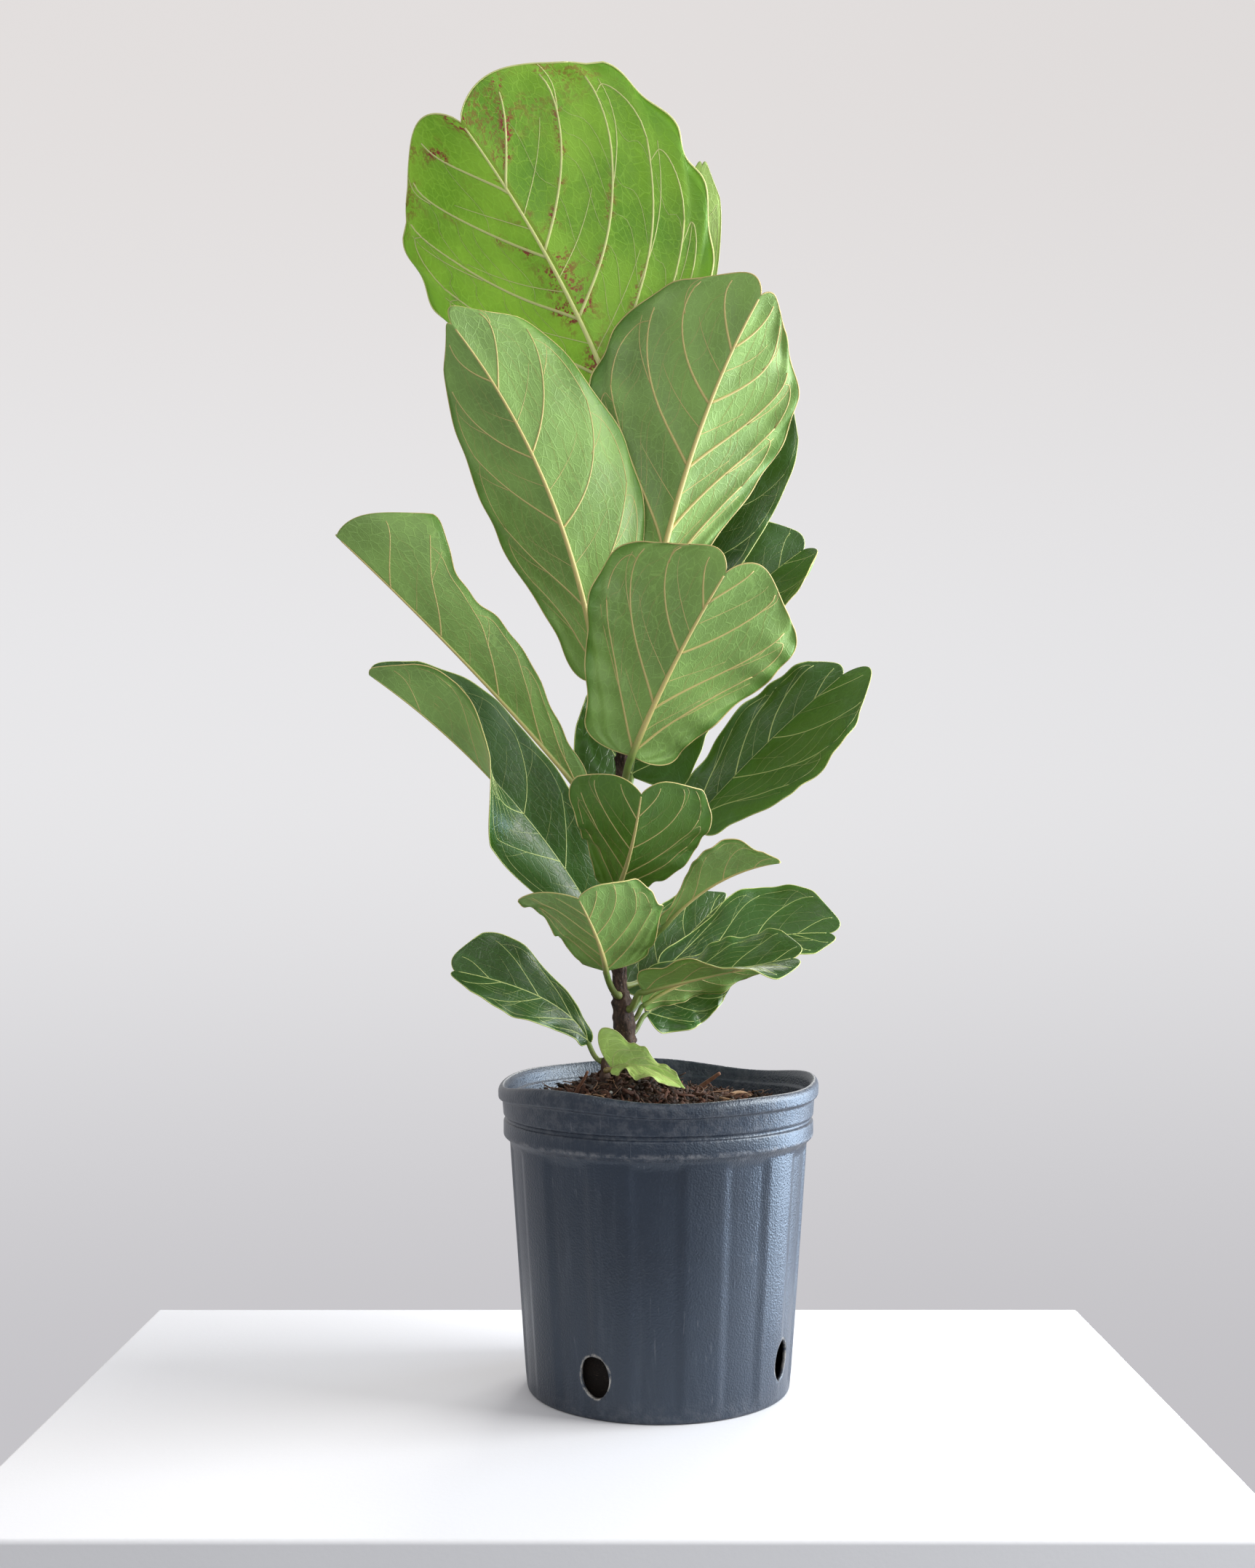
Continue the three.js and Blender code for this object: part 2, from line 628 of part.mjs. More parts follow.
const plant = new THREE.Group();

function addPiece(name, geometry, material) {
  const tidy = tidyGeometry(geometry);
  tidy.computeVertexNormals();
  const mesh = new THREE.Mesh(tidy, material.clone());
  mesh.name = name;
  plant.add(mesh);
}

addPiece('nursery_pot', makePot(), plastic);
addPiece('potting_mix', makeSoil(), mix);
addPiece('main_stem', makeStem(0), bark);
addPiece('side_shoot', makeShoot(0), bark);
leaves.forEach((leaf) => {
  const young = leaf.name === 'leaf_young' || leaf.name === 'leaf_sprout';
  addPiece(leaf.name, makeLeaf(leaf), young ? youngGreen : leafGreen);
});

export default plant;
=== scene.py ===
"""A young fiddle leaf fig in a fluted nursery can: pot, heaped mix, barky stem, shoot and leaves.

Lengths in the tables are millimetres, as on a maker's drawing; meshes are built in metres.
"""

import math

import bpy
import numpy as np
from mathutils import Matrix, Vector, noise


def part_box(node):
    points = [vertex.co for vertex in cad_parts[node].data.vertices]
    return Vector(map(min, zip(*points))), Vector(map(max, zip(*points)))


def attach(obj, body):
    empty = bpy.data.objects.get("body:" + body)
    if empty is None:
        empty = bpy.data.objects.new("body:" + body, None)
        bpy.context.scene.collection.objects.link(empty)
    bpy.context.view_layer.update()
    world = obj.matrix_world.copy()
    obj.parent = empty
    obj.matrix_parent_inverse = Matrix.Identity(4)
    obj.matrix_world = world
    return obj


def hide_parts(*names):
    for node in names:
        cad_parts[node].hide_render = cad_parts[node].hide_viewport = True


bl_info = {
    "name": "Potted Fiddle Leaf Fig",
    "version": (1, 0, 0),
    "blender": (4, 5, 0),
    "location": "View3D > Sidebar > Fig",
    "description": "Grows a potted fiddle leaf fig to the sizes of its working model",
    "category": "Add Mesh",
}

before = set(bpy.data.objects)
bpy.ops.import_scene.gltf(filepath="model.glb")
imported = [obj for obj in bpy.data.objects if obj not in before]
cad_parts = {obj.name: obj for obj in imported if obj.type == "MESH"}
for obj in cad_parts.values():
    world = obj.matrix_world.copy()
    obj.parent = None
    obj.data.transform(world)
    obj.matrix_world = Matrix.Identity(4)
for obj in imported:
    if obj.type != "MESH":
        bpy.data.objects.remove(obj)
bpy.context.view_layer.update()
BODY = "root"
MM = 0.001
FULL_TURN = 2 * math.pi

POT_LOW, POT_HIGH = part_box("nursery_pot")
POT_HEIGHT = 216.0
RIM_RADIUS = (POT_HIGH[0] - POT_LOW[0]) / 2 / MM

# ---------------------------------------------------------------- the plant's measures
STEM_LINE = (  # height, then the stem's centre in X and Y
    (140, -22, 0),
    (246, -23.5, 0),
    (289, -28, 0),
    (343, -26.5, 0),
    (428, -27, 0),
    (496, -22, 0),
    (566, -15, 0),
)
SHOOT_PLACE = (-38, -13)
WIDTH_PLACES = (0, 0.15, 0.35, 0.55, 0.75, 0.9, 1)


def half(widths, cup, curl=0, notch=0.2, lobe=0.35, corner=0):
    """Half of a blade: its widths at WIDTH_PLACES, its rise and bend in degrees, and its lobes."""
    return {"widths": widths, "cup": cup, "curl": curl, "notch": notch, "lobe": lobe, "corner": corner}


def leaf(name, joins, faces, base, middle, tip, left, right, ruffle=3, on_shoot=False):
    """A leaf: the height where it joins, where its upper face looks, its midrib and its halves."""
    return {
        "name": name, "joins": joins, "faces": faces, "on_shoot": on_shoot, "ruffle": ruffle,
        "midrib": (base, middle, tip), "halves": {-1: left, 1: right},
    }


LEAVES = (
    leaf("leaf_crown", joins=556, faces=(68, 8), ruffle=4,
         base=(-5, 8, 629), middle=(-60, 14, 777), tip=(-144, 0, 913),
         left=half((30, 80, 118, 126, 110, 84), cup=(14, 14), notch=0.12, lobe=0.1),
         right=half((38, 82, 108, 120, 112, 78), cup=(14, 20), curl=(0, 10), notch=0.2, lobe=0.1)),
    leaf("leaf_young", joins=560, faces=(80, 6),
         base=(-8, 26, 625), middle=(18, 38, 765), tip=(34, 35, 894),
         left=half((10, 16, 19, 20, 16, 6), cup=10),
         right=half((10, 16, 19, 20, 16, 6), cup=10)),
    leaf("leaf_upper_left", joins=470, faces=(80, 10),
         base=(-42, -20, 501), middle=(-79, -35, 636), tip=(-144, -60, 745),
         left=half((36, 64, 69, 60, 46, 18), cup=(20, 20), curl=(40, 20), notch=0.15, lobe=0.2),
         right=half((30, 54, 57, 50, 32, 8), cup=(25, 20), curl=(0, 10), notch=0.05, lobe=0.2)),
    leaf("leaf_upper_right", joins=512, faces=(85, 10),
         base=(-7, -8, 546), middle=(28, -18, 675), tip=(73, -30, 775),
         left=half((26, 47, 62, 62, 38, 20), cup=(25, 25), notch=0.1, lobe=0.2),
         right=half((36, 72, 92, 90, 70, 38), cup=(15, 20), notch=0.12, lobe=0.2)),
    leaf("leaf_upper_back", joins=530, faces=(-70, 20),
         base=(5, 20, 552), middle=(52, 34, 630), tip=(94, 40, 711),
         left=half((14, 26, 36, 38, 30, 15), cup=15),
         right=half((20, 28, 30, 28, 22, 12), cup=15)),
    leaf("leaf_back_right", joins=480, faces=(-95, 20),
         base=(-8, 18, 497), middle=(58, 54, 564), tip=(112, 66, 609),
         left=half((25, 35, 40, 40, 35, 25), cup=20, notch=0.15),
         right=half((35, 45, 50, 50, 40, 25), cup=25, curl=(0, 60), notch=0.15)),
    leaf("leaf_centre", joins=424, faces=(85, 15),
         base=(-19, -35, 446), middle=(10, -55, 508), tip=(45, -75, 569),
         left=half((34, 50, 64, 74, 69, 50), cup=20, notch=0.22, lobe=0.25),
         right=half((44, 62, 76, 80, 66, 36), cup=18, notch=0.14, lobe=0.25)),
    leaf("leaf_outer_left", joins=394, faces=(55, 30),
         base=(-55, -10, 423), middle=(-133, -25, 509), tip=(-228, -30, 602),
         left=half((14, 32, 37, 42, 58, 48), cup=(20, 25), curl=(30, 40), notch=0.1, corner=-0.3),
         right=half((20, 40, 50, 45, 30, 10), cup=60, notch=0.05)),
    leaf("leaf_trough_left", joins=306, faces=(-60, 30),
         base=(-42, -12, 326), middle=(-110, -30, 422), tip=(-202, -45, 502),
         left=half((26, 36, 40, 36, 28, 12), cup=(-5, 0, 5, 70, 120, 110),
                   curl=(-30, -60, -30, 0, 0), notch=0.05),
         right=half((28, 34, 42, 40, 30, 18), cup=30, notch=0.05)),
    leaf("leaf_centre_back", joins=418, faces=(-90, 20),
         base=(-19, 18, 434), middle=(-10, 40, 476), tip=(1, 58, 516),
         left=half((45, 48, 45, 40, 30, 15), cup=15, lobe=0.5),
         right=half((43, 48, 50, 40, 30, 15), cup=10, lobe=0.45)),
    leaf("leaf_outer_right", joins=372, faces=(-110, 25),
         base=(26, 10, 401), middle=(78, 5, 456), tip=(133, -5, 506),
         left=half((22, 28, 31, 30, 24, 16), cup=(30, 30), notch=0.12),
         right=half((32, 56, 61, 60, 50, 38), cup=20, notch=0.3)),
    leaf("leaf_front", joins=330, faces=(85, 40),
         base=(-30, -45, 351), middle=(-20, -90, 379), tip=(-13, -125, 416),
         left=half((24, 40, 47, 50, 42, 28), cup=15, notch=0.1, corner=0.2),
         right=half((18, 29, 38, 48, 46, 34), cup=15, notch=0.1, corner=0.2)),
    leaf("leaf_lower_front", joins=276, faces=(95, 50),
         base=(-37, -40, 296), middle=(-42, -80, 319), tip=(-54, -120, 348),
         left=half((32, 40, 48, 46, 40, 30), cup=15, notch=0.1),
         right=half((18, 28, 30, 36, 46, 52), cup=20, notch=0.1)),
    leaf("leaf_slim_right", joins=299, faces=(110, 40),
         base=(3, -40, 327), middle=(39, -60, 357), tip=(80, -80, 371),
         left=half((14, 22, 24, 18, 10, 4), cup=60, notch=0.05),
         right=half((8, 14, 27, 24, 12, 5), cup=(15, 25), notch=0.05)),
    leaf("leaf_low_back_right", joins=282, faces=(-95, 40),
         base=(4, 32, 292), middle=(66, 46, 312), tip=(128, 44, 318),
         left=half((14, 26, 40, 41, 34, 20), cup=15),
         right=half((12, 18, 24, 26, 24, 16), cup=15)),
    leaf("leaf_low_back", joins=262, faces=(-95, 35),
         base=(-12, 34, 271), middle=(18, 68, 308), tip=(52, 95, 340),
         left=half((25, 32, 35, 30, 22, 10), cup=15),
         right=half((25, 32, 35, 30, 22, 10), cup=15)),
    leaf("leaf_curled_right", joins=266, faces=(-95, 60),
         base=(-11, -15, 280), middle=(44, -35, 294), tip=(92, -50, 305),
         left=half((20, 26, 30, 34, 30, 20), cup=(20, 10)),
         right=half((18, 22, 26, 30, 28, 18), cup=(100, 0))),
    leaf("leaf_low_right", joins=258, faces=(100, 35),
         base=(-10, 2, 269), middle=(28, 6, 287), tip=(71, 6, 293),
         left=half((14, 20, 24, 20, 12, 5), cup=15),
         right=half((8, 10, 12, 10, 7, 4), cup=15)),
    leaf("leaf_lowest_right", joins=248, faces=(-95, 10),
         base=(-8, 15, 261), middle=(20, 28, 273), tip=(50, 30, 284),
         left=half((8, 9, 9, 8, 6, 3), cup=15),
         right=half((20, 26, 24, 20, 14, 7), cup=15)),
    leaf("leaf_low_left", joins=230, faces=(-85, 25), on_shoot=True,
         base=(-50, -8, 243), middle=(-80, -20, 274), tip=(-143, -30, 295),
         left=half((9, 16, 22, 21, 15, 8), cup=12, notch=0.12),
         right=half((6, 10, 19, 30, 32, 20), cup=12, notch=0.12)),
    leaf("leaf_sprout", joins=224, faces=(-60, 70), on_shoot=True,
         base=(-33, -22, 226), middle=(-14, -31, 229), tip=(13, -42, 217),
         left=half((26, 16, 10, 9, 6, 2), cup=(85, 20), lobe=0.1),
         right=half((7, 9, 12, 12, 8, 3), cup=(-30, 0))),
)


# ---------------------------------------------------------------- small maths
def smooth(start, end, value):
    """0 before start, 1 after end, and an even S between them."""
    share = np.clip((np.asarray(value, float) - start) / (end - start), 0, 1)
    return share * share * (3 - 2 * share)


def unit(vectors):
    """Vectors of length one."""
    return vectors / np.maximum(np.linalg.norm(vectors, axis=-1, keepdims=True), 1e-9)


def through(xs, ys, x):
    """A smooth curve through (xs, ys), with each slope taken from its neighbours."""
    xs, ys = np.asarray(xs, float), np.asarray(ys, float)
    last = len(xs) - 1
    before = np.maximum(np.arange(last + 1) - 1, 0)
    after = np.minimum(np.arange(last + 1) + 1, last)
    slope = (ys[after] - ys[before]) / (xs[after] - xs[before])
    k = np.clip(np.searchsorted(xs, x, side="right") - 1, 0, last - 1)
    step = xs[k + 1] - xs[k]
    s = (x - xs[k]) / step
    start = (2 * s**3 - 3 * s**2 + 1) * ys[k] + (s**3 - 2 * s**2 + s) * step * slope[k]
    end = (3 * s**2 - 2 * s**3) * ys[k + 1] + (s**3 - s**2) * step * slope[k + 1]
    return start + end


def along(values, t):
    """One number, or evenly spaced numbers from base to tip, at the places t."""
    values = np.atleast_1d(np.asarray(values, float))
    return np.interp(t, np.linspace(0, 1, len(values)), values)


def bezier(points, t):
    """Points of a quadratic or cubic curve."""
    points = [np.asarray(p, float) for p in points]
    t = np.asarray(t, float)[:, None]
    while len(points) > 1:
        points = [a + (b - a) * t for a, b in zip(points, points[1:])]
    return points[0]


def stem_centre(height):
    """The middle of the main stem at a height."""
    heights = [row[0] for row in STEM_LINE]
    x = through(heights, [row[1] for row in STEM_LINE], height)
    y = through(heights, [row[2] for row in STEM_LINE], height)
    return np.stack([x, y, np.asarray(height, float)], axis=-1)


# ---------------------------------------------------------------- meshes
class Shape:
    """Points, faces, finishes and pattern coordinates, kept until they become one mesh."""

    def __init__(self):
        self.points, self.faces, self.finish = [], [], []
        self.flat, self.veins = [], []
        self.count = 0

    def add(self, points, faces, finish=0, flat=None, veins=None):
        """Adds a patch; flat and veins are its pattern coordinates, one triple for each point."""
        points = np.asarray(points, float).reshape(-1, 3)
        self.points.append(points)
        self.faces += [tuple(int(i) + self.count for i in face) for face in faces]
        self.finish += [finish] * len(faces)
        blank = np.zeros_like(points)
        self.flat.append(blank if flat is None else np.asarray(flat, float).reshape(-1, 3))
        self.veins.append(blank if veins is None else np.asarray(veins, float).reshape(-1, 3))
        self.count += len(points)

    def build(self, name, materials):
        """Makes the object, with smooth faces and its coordinates in metres."""
        mesh = bpy.data.meshes.new(name)
        mesh.from_pydata((np.concatenate(self.points) * MM).tolist(), [], self.faces)
        for material in materials:
            mesh.materials.append(material)
        mesh.polygons.foreach_set("material_index", self.finish)
        mesh.polygons.foreach_set("use_smooth", [True] * len(self.faces))
        for label, values in (("flat", self.flat), ("veins", self.veins)):
            layer = mesh.attributes.new(label, "FLOAT_VECTOR", "POINT")
            layer.data.foreach_set("vector", np.concatenate(values).ravel())
        mesh.update()
        piece = bpy.data.objects.new(name, mesh)
        bpy.context.scene.collection.objects.link(piece)
        return piece


def grid_faces(rows, columns, wrap=False):
    """Faces of a grid of points, row by row; wrap closes each row into a ring."""
    faces = []
    for r in range(rows - 1):
        for c in range(columns if wrap else columns - 1):
            a, b = r * columns + c, r * columns + (c + 1) % columns
            faces.append((a, b, b + columns, a + columns))
    return faces


def closed_faces(rows, sides):
    """Faces of rings of points, closed with a flat end at the first and the last ring."""
    last = (rows - 1) * sides
    return grid_faces(rows, sides, wrap=True) + [
        tuple(range(sides))[::-1], tuple(range(last, last + sides)),
    ]


def tube(path, radii, sides=8, up=None, flatten=1.0):
    """A closed tube along a path. Returns points, faces, and how far each point looks along up."""
    path = np.asarray(path, float)
    radii = np.broadcast_to(np.asarray(radii, float), len(path))
    forward = unit(np.gradient(path, axis=0))
    if up is None:
        up = np.where(np.abs(forward[:, 2:]) > 0.95, [[1.0, 0.0, 0.0]], [[0.0, 0.0, 1.0]])
    across = unit(np.cross(forward, up))
    upward = np.cross(across, forward)
    angle = np.arange(sides) * FULL_TURN / sides
    ring = across[:, None] * np.cos(angle)[None, :, None]
    height = np.broadcast_to(np.asarray(flatten, float), len(path))
    rise = upward[:, None] * (height[:, None] * np.sin(angle))[..., None]
    points = path[:, None] + (ring + rise) * radii[:, None, None]
    faces = [face[::-1] for face in closed_faces(len(path), sides)]
    facing = np.broadcast_to(np.sin(angle), (len(path), sides))
    return points.reshape(-1, 3), faces, facing.ravel()


def settle(piece, slot, *nodes):
    """Gives a finished piece its body and hides the plain solids that it stands for; the finish slot is
    not used.
    """
    if nodes:
        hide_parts(*nodes)
    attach(piece, BODY)
    return piece


# ---------------------------------------------------------------- node trees
class Number:
    """A value socket; sums on it add Math nodes to its tree."""

    def __init__(self, graph, socket):
        self.graph = graph
        self.socket = socket

    def __add__(self, other):
        return self.graph.math("ADD", self, other)

    def __radd__(self, other):
        return self.graph.math("ADD", other, self)

    def __sub__(self, other):
        return self.graph.math("SUBTRACT", self, other)

    def __rsub__(self, other):
        return self.graph.math("SUBTRACT", other, self)

    def __mul__(self, other):
        return self.graph.math("MULTIPLY", self, other)

    def __rmul__(self, other):
        return self.graph.math("MULTIPLY", other, self)

    def __truediv__(self, other):
        return self.graph.math("DIVIDE", self, other)

    def __pow__(self, other):
        return self.graph.math("POWER", self, other)


class Graph:
    """Adds nodes to a shader or geometry tree."""

    def __init__(self, tree):
        self.tree = tree

    def node(self, kind, settings=None, **sockets):
        """Adds a node: its type, its settings, then the values or links of its sockets."""
        node = self.tree.nodes.new(kind)
        for label, value in (settings or {}).items():
            setattr(node, label, value)
        for label, value in sockets.items():
            self.feed(self.find(node.inputs, label), value)
        return node

    def find(self, sockets, label):
        """The socket with this identifier or name, where _ stands for a space."""
        for socket in sockets:
            if label in (socket.identifier, socket.name, socket.name.replace(" ", "_")):
                return socket
        raise KeyError(label)

    def feed(self, socket, value):
        """Links a socket, or sets its value."""
        if isinstance(value, Number):
            self.tree.links.new(value.socket, socket)
        elif isinstance(value, bpy.types.NodeSocket):
            self.tree.links.new(value, socket)
        elif isinstance(value, (tuple, list)) and socket.type == "RGBA":
            socket.default_value = (*value, 1)
        else:
            socket.default_value = value

    def math(self, operation, *values, clamp=False):
        """A Math node on numbers."""
        labels = ("Value", "Value_001", "Value_002")
        node = self.node("ShaderNodeMath", {"operation": operation, "use_clamp": clamp})
        for label, value in zip(labels, values):
            self.feed(self.find(node.inputs, label), value)
        return Number(self, node.outputs[0])

    def number(self, node, label):
        """One output of a node, as a Number."""
        return Number(self, self.find(node.outputs, label))

    def step(self, value, start, end, low=0.0, high=1.0):
        """A smooth step from low to high."""
        node = self.node(
            "ShaderNodeMapRange", {"interpolation_type": "SMOOTHSTEP"},
            Value=value, From_Min=start, From_Max=end, To_Min=low, To_Max=high,
        )
        return self.number(node, "Result")

    def mix(self, factor, first, second):
        """A colour between two colours."""
        node = self.node(
            "ShaderNodeMix", {"data_type": "RGBA"}, Factor_Float=factor, A_Color=first, B_Color=second
        )
        return self.find(node.outputs, "Result_Color")

    def parts(self, vector):
        """The X, Y and Z of a vector socket, as Numbers."""
        node = self.node("ShaderNodeSeparateXYZ", Vector=vector)
        return [self.number(node, axis) for axis in "XYZ"]

    def scaled(self, vector, scale):
        """A vector times three factors."""
        node = self.node(
            "ShaderNodeVectorMath", {"operation": "MULTIPLY"}, Vector=vector, Vector_001=scale
        )
        return node.outputs[0]

    def noise(self, vector, scale, detail=2.0, roughness=0.5, distortion=0.0):
        """Soft noise from 0 to 1."""
        node = self.node(
            "ShaderNodeTexNoise", Vector=vector, Scale=scale, Detail=detail,
            Roughness=roughness, Distortion=distortion,
        )
        return Number(self, node.outputs[0])

    def cells(self, vector, scale, feature="F1"):
        """Distance in a cell pattern."""
        node = self.node("ShaderNodeTexVoronoi", {"feature": feature}, Vector=vector, Scale=scale)
        return self.number(node, "Distance")

    def bump(self, height, strength, distance):
        """A normal raised by a height."""
        node = self.node("ShaderNodeBump", Height=height, Strength=strength, Distance=distance)
        return node.outputs[0]


class Finish(Graph):
    """A material whose nodes are written as sums."""

    def __init__(self, name):
        self.material = bpy.data.materials.new(name)
        self.material.use_nodes = True
        super().__init__(self.material.node_tree)
        self.tree.nodes.clear()
        self.output = self.node("ShaderNodeOutputMaterial")
        self.here = self.find(self.node("ShaderNodeTexCoord").outputs, "Object")

    def attribute(self, label):
        """A vector kept on the mesh's points."""
        return self.node("ShaderNodeAttribute", {"attribute_name": label}).outputs["Vector"]

    def surface(self, glow=None, share=0.0, **sockets):
        """Ends the material in a Principled shader, with light passing through where glow is given."""
        shader = self.node("ShaderNodeBsdfPrincipled", **sockets).outputs[0]
        if glow:
            thin = self.node("ShaderNodeBsdfTranslucent", Color=glow).outputs[0]
            mixed = self.node("ShaderNodeMixShader", Fac=share)
            self.feed(mixed.inputs[1], shader)
            self.feed(mixed.inputs[2], thin)
            shader = mixed.outputs[0]
        self.feed(self.output.inputs["Surface"], shader)
        return self.material


def geometry_tree(name, sockets):
    """A geometry tree with named inputs. Returns its graph, its geometry and a Number for each input."""
    tree = bpy.data.node_groups.new(name, "GeometryNodeTree")
    tree.interface.new_socket("Geometry", in_out="INPUT", socket_type="NodeSocketGeometry")
    for label, (kind, value) in sockets.items():
        item = tree.interface.new_socket(label, in_out="INPUT", socket_type="NodeSocket" + kind)
        if value is not None:
            item.default_value = value
    tree.interface.new_socket("Geometry", in_out="OUTPUT", socket_type="NodeSocketGeometry")
    graph = Graph(tree)
    entry = graph.node("NodeGroupInput")
    numbers = {label: Number(graph, entry.outputs[label]) for label in sockets}
    return graph, entry.outputs["Geometry"], numbers


def end_tree(graph, geometry, material):
    """Realizes instances, sets the material and closes the tree."""
    whole = graph.node("GeometryNodeRealizeInstances", Geometry=geometry)
    painted = graph.node("GeometryNodeSetMaterial", Geometry=whole.outputs[0], Material=material)
    graph.feed(graph.node("NodeGroupOutput").inputs[0], painted.outputs[0])
    return graph.tree


def grow(piece, tree, values):
    """Runs a geometry tree on a piece and keeps the result as its plain mesh."""
    modifier = piece.modifiers.new(tree.name, "NODES")
    modifier.node_group = tree
    for item in tree.interface.items_tree:
        if item.name in values:
            modifier[item.identifier] = values[item.name]
    depsgraph = bpy.context.evaluated_depsgraph_get()
    evaluated = piece.evaluated_get(depsgraph)
    mesh = bpy.data.meshes.new_from_object(
        evaluated, preserve_all_data_layers=True, depsgraph=depsgraph
    )
    piece.modifiers.remove(modifier)
    piece.data = mesh
    mesh.polygons.foreach_set("use_smooth", [True] * len(mesh.polygons))
    return piece


# ---------------------------------------------------------------- leaves
BLADE_THICKNESS = 0.8
MARGIN_RADIUS = 0.6
CORNER_TRIM = 0.08  # share of the blade's length cut off its corners beside the tip
QUILT = 1.9  # rise of the blade between its side veins
SCALLOP = 0.022  # swelling of the margin between side veins, as a share of the half width
UNDER, UPPER, VEIN = 0, 1, 2  # finishes of a leaf
LOOP_PLACE = 0.83  # share of the half width at which a side vein turns into its loop
SIDE_VEIN = (1.35, 0.65)  # radii of a large leaf's veins at both ends
LOOP_VEIN = (0.6, 0.38)
FORK_VEIN = (0.55, 0.34)
SHORT_VEIN = (0.5, 0.26)
RUNG_VEIN = (0.3, 0.26)
PETIOLE_RADIUS = 2.5


class Blade:
    """One leaf's surface: a fine grid of points on each half, from the midrib to the margin."""

    def __init__(self, plan, rows=150, columns=36):
        self.plan = plan
        self.t = np.linspace(0, 1, rows)
        self.u = np.linspace(0, 1, columns)
        self.places = self.t[:, None] * (1 - CORNER_TRIM * self.u[None] ** 4)
        self.lay_midrib(*plan["midrib"], *np.radians(plan["faces"]))
        self.widest = max(max(part["widths"]) for part in plan["halves"].values())
        self.size = min(1.1, max(0.42, self.widest / 95))
        self.random = np.random.default_rng(sum(map(ord, plan["name"])))
        self.laterals = {side: self.place_laterals() for side in (-1, 1)}
        self.points, self.widths = {}, {}
        for side in (-1, 1):
            self.points[side], self.widths[side] = self.half(side)
        whole = np.concatenate([self.points[-1][:, :0:-1], self.points[1]], axis=1)
        normal = unit(np.cross(np.gradient(whole, axis=1), np.gradient(whole, axis=0)))
        middle_column = columns - 1
        self.normals = {-1: normal[:, middle_column::-1], 1: normal[:, middle_column:]}

    def lay_midrib(self, base, middle, tip, azimuth, elevation):
        """The midrib's curve, and which way is along, up from and across the blade on it."""
        base, middle, tip = np.array((base, middle, tip), float)
        control = 2 * middle - (base + tip) / 2
        t = self.places[..., None]
        self.ribs = base * (1 - t) ** 2 + control * 2 * t * (1 - t) + tip * t**2
        self.tangents = unit((control - base) * (1 - t) + (tip - control) * t)
        self.length = np.linalg.norm(np.diff(self.ribs[:, 0], axis=0), axis=1).sum()
        looks = np.array([
            math.cos(azimuth) * math.cos(elevation),
            math.sin(azimuth) * math.cos(elevation),
            math.sin(elevation),
        ])
        self.up = unit(looks - self.tangents * (self.tangents @ looks)[..., None])
        self.across = np.cross(self.tangents, self.up)

    def place_laterals(self):
        """Where the side veins leave the midrib, as shares of its length."""
        pairs = max(4, round(self.length / 50))
        places = np.linspace(0.02, 0.82, pairs) ** 1.06
        jitter = self.random.uniform(-0.16, 0.16, pairs) / pairs
        jitter[0] = 0
        return places + jitter

    def half(self, side):
        """Points of one half's middle surface, and its half widths."""
        part = self.plan["halves"][side]
        t, u = self.places, self.u
        widths = part["widths"]
        opening = np.sqrt(1 - (1 - np.minimum(1, t / 0.12)) ** 2)
        width = np.maximum(2.3, opening * through(WIDTH_PLACES, [widths[0] * 0.9, *widths], t))
        cup, curl = np.radians(along(part["cup"], t)), np.radians(along(part["curl"], t))
        between = (u[1:] + u[:-1]) / 2
        angle = cup[..., None] + curl[..., None] * between**1.5
        steps = np.diff(u) * (between < u[:, None])
        out = (np.cos(angle) * steps).sum(axis=-1) * width
        rise = (np.sin(angle) * steps).sum(axis=-1) * width
        start = 0 if side < 0 else 2.1
        waves = np.sin(FULL_TURN * 2.5 * t + start) * np.sqrt(np.sin(math.pi * np.clip(t, 0, 1)))
        rise = rise + self.plan["ruffle"] * waves * u**2
        phase = self.phase(side, t, u[None])
        window = smooth(0.04, 0.2, t) * (1 - smooth(0.9, 1, t))
        rise = rise + self.quilting(t, phase, width) + self.size * window * self.ripple(t) * u**3
        out = out * (1 + SCALLOP * self.size * window * np.cos(FULL_TURN * phase) * u**4)
        lobe = part["lobe"] * width * (1 - smooth(0, 0.4, t)) * u**1.3
        shoulder = part["notch"] * smooth(0.55, 1, t) * np.sin(math.pi * u**0.75)
        corner = part["corner"] * smooth(0.45, 1, t) * u
        forward = max(widths) * (shoulder + corner) - lobe
        points = self.ribs + self.across * (side * out)[..., None]
        return points + self.up * rise[..., None] + self.tangents * forward[..., None], width

    def ripple(self, t):
        """Uneven small waves of the margin."""
        waves = zip(self.random.uniform(4, 9, 4), self.random.uniform(0, FULL_TURN, 4))
        return sum(0.8 * np.sin(FULL_TURN * count * t + start) for count, start in waves)

    def climb(self, u):
        """How far along the leaf a side vein has climbed when it is u of the way to the margin."""
        slope = self.widest / self.length
        return slope * (0.8 * u + 0.7 * u**3)

    def phase(self, side, t, u):
        """Which side vein a place lies at, counted from the base."""
        places = self.laterals[side]
        here = t - self.climb(u)
        spacing = np.mean(np.diff(places))
        inside = np.interp(here, places, np.arange(len(places)))
        below = np.minimum(0, here - places[0]) / spacing
        above = np.maximum(0, here - places[-1]) / spacing
        return inside + below + above

    def quilting(self, t, phase, width):
        """The low swellings between side veins."""
        swell = np.abs(np.sin(math.pi * phase)) ** 1.2
        window = smooth(0.0, 0.2, self.u) * (1 - 0.7 * smooth(0.7, 1, self.u))
        ends = smooth(0, 0.08, t) * (1 - smooth(0.9, 1, t))
        return QUILT * self.size**1.5 * swell * window * ends * np.minimum(1, width / 20)

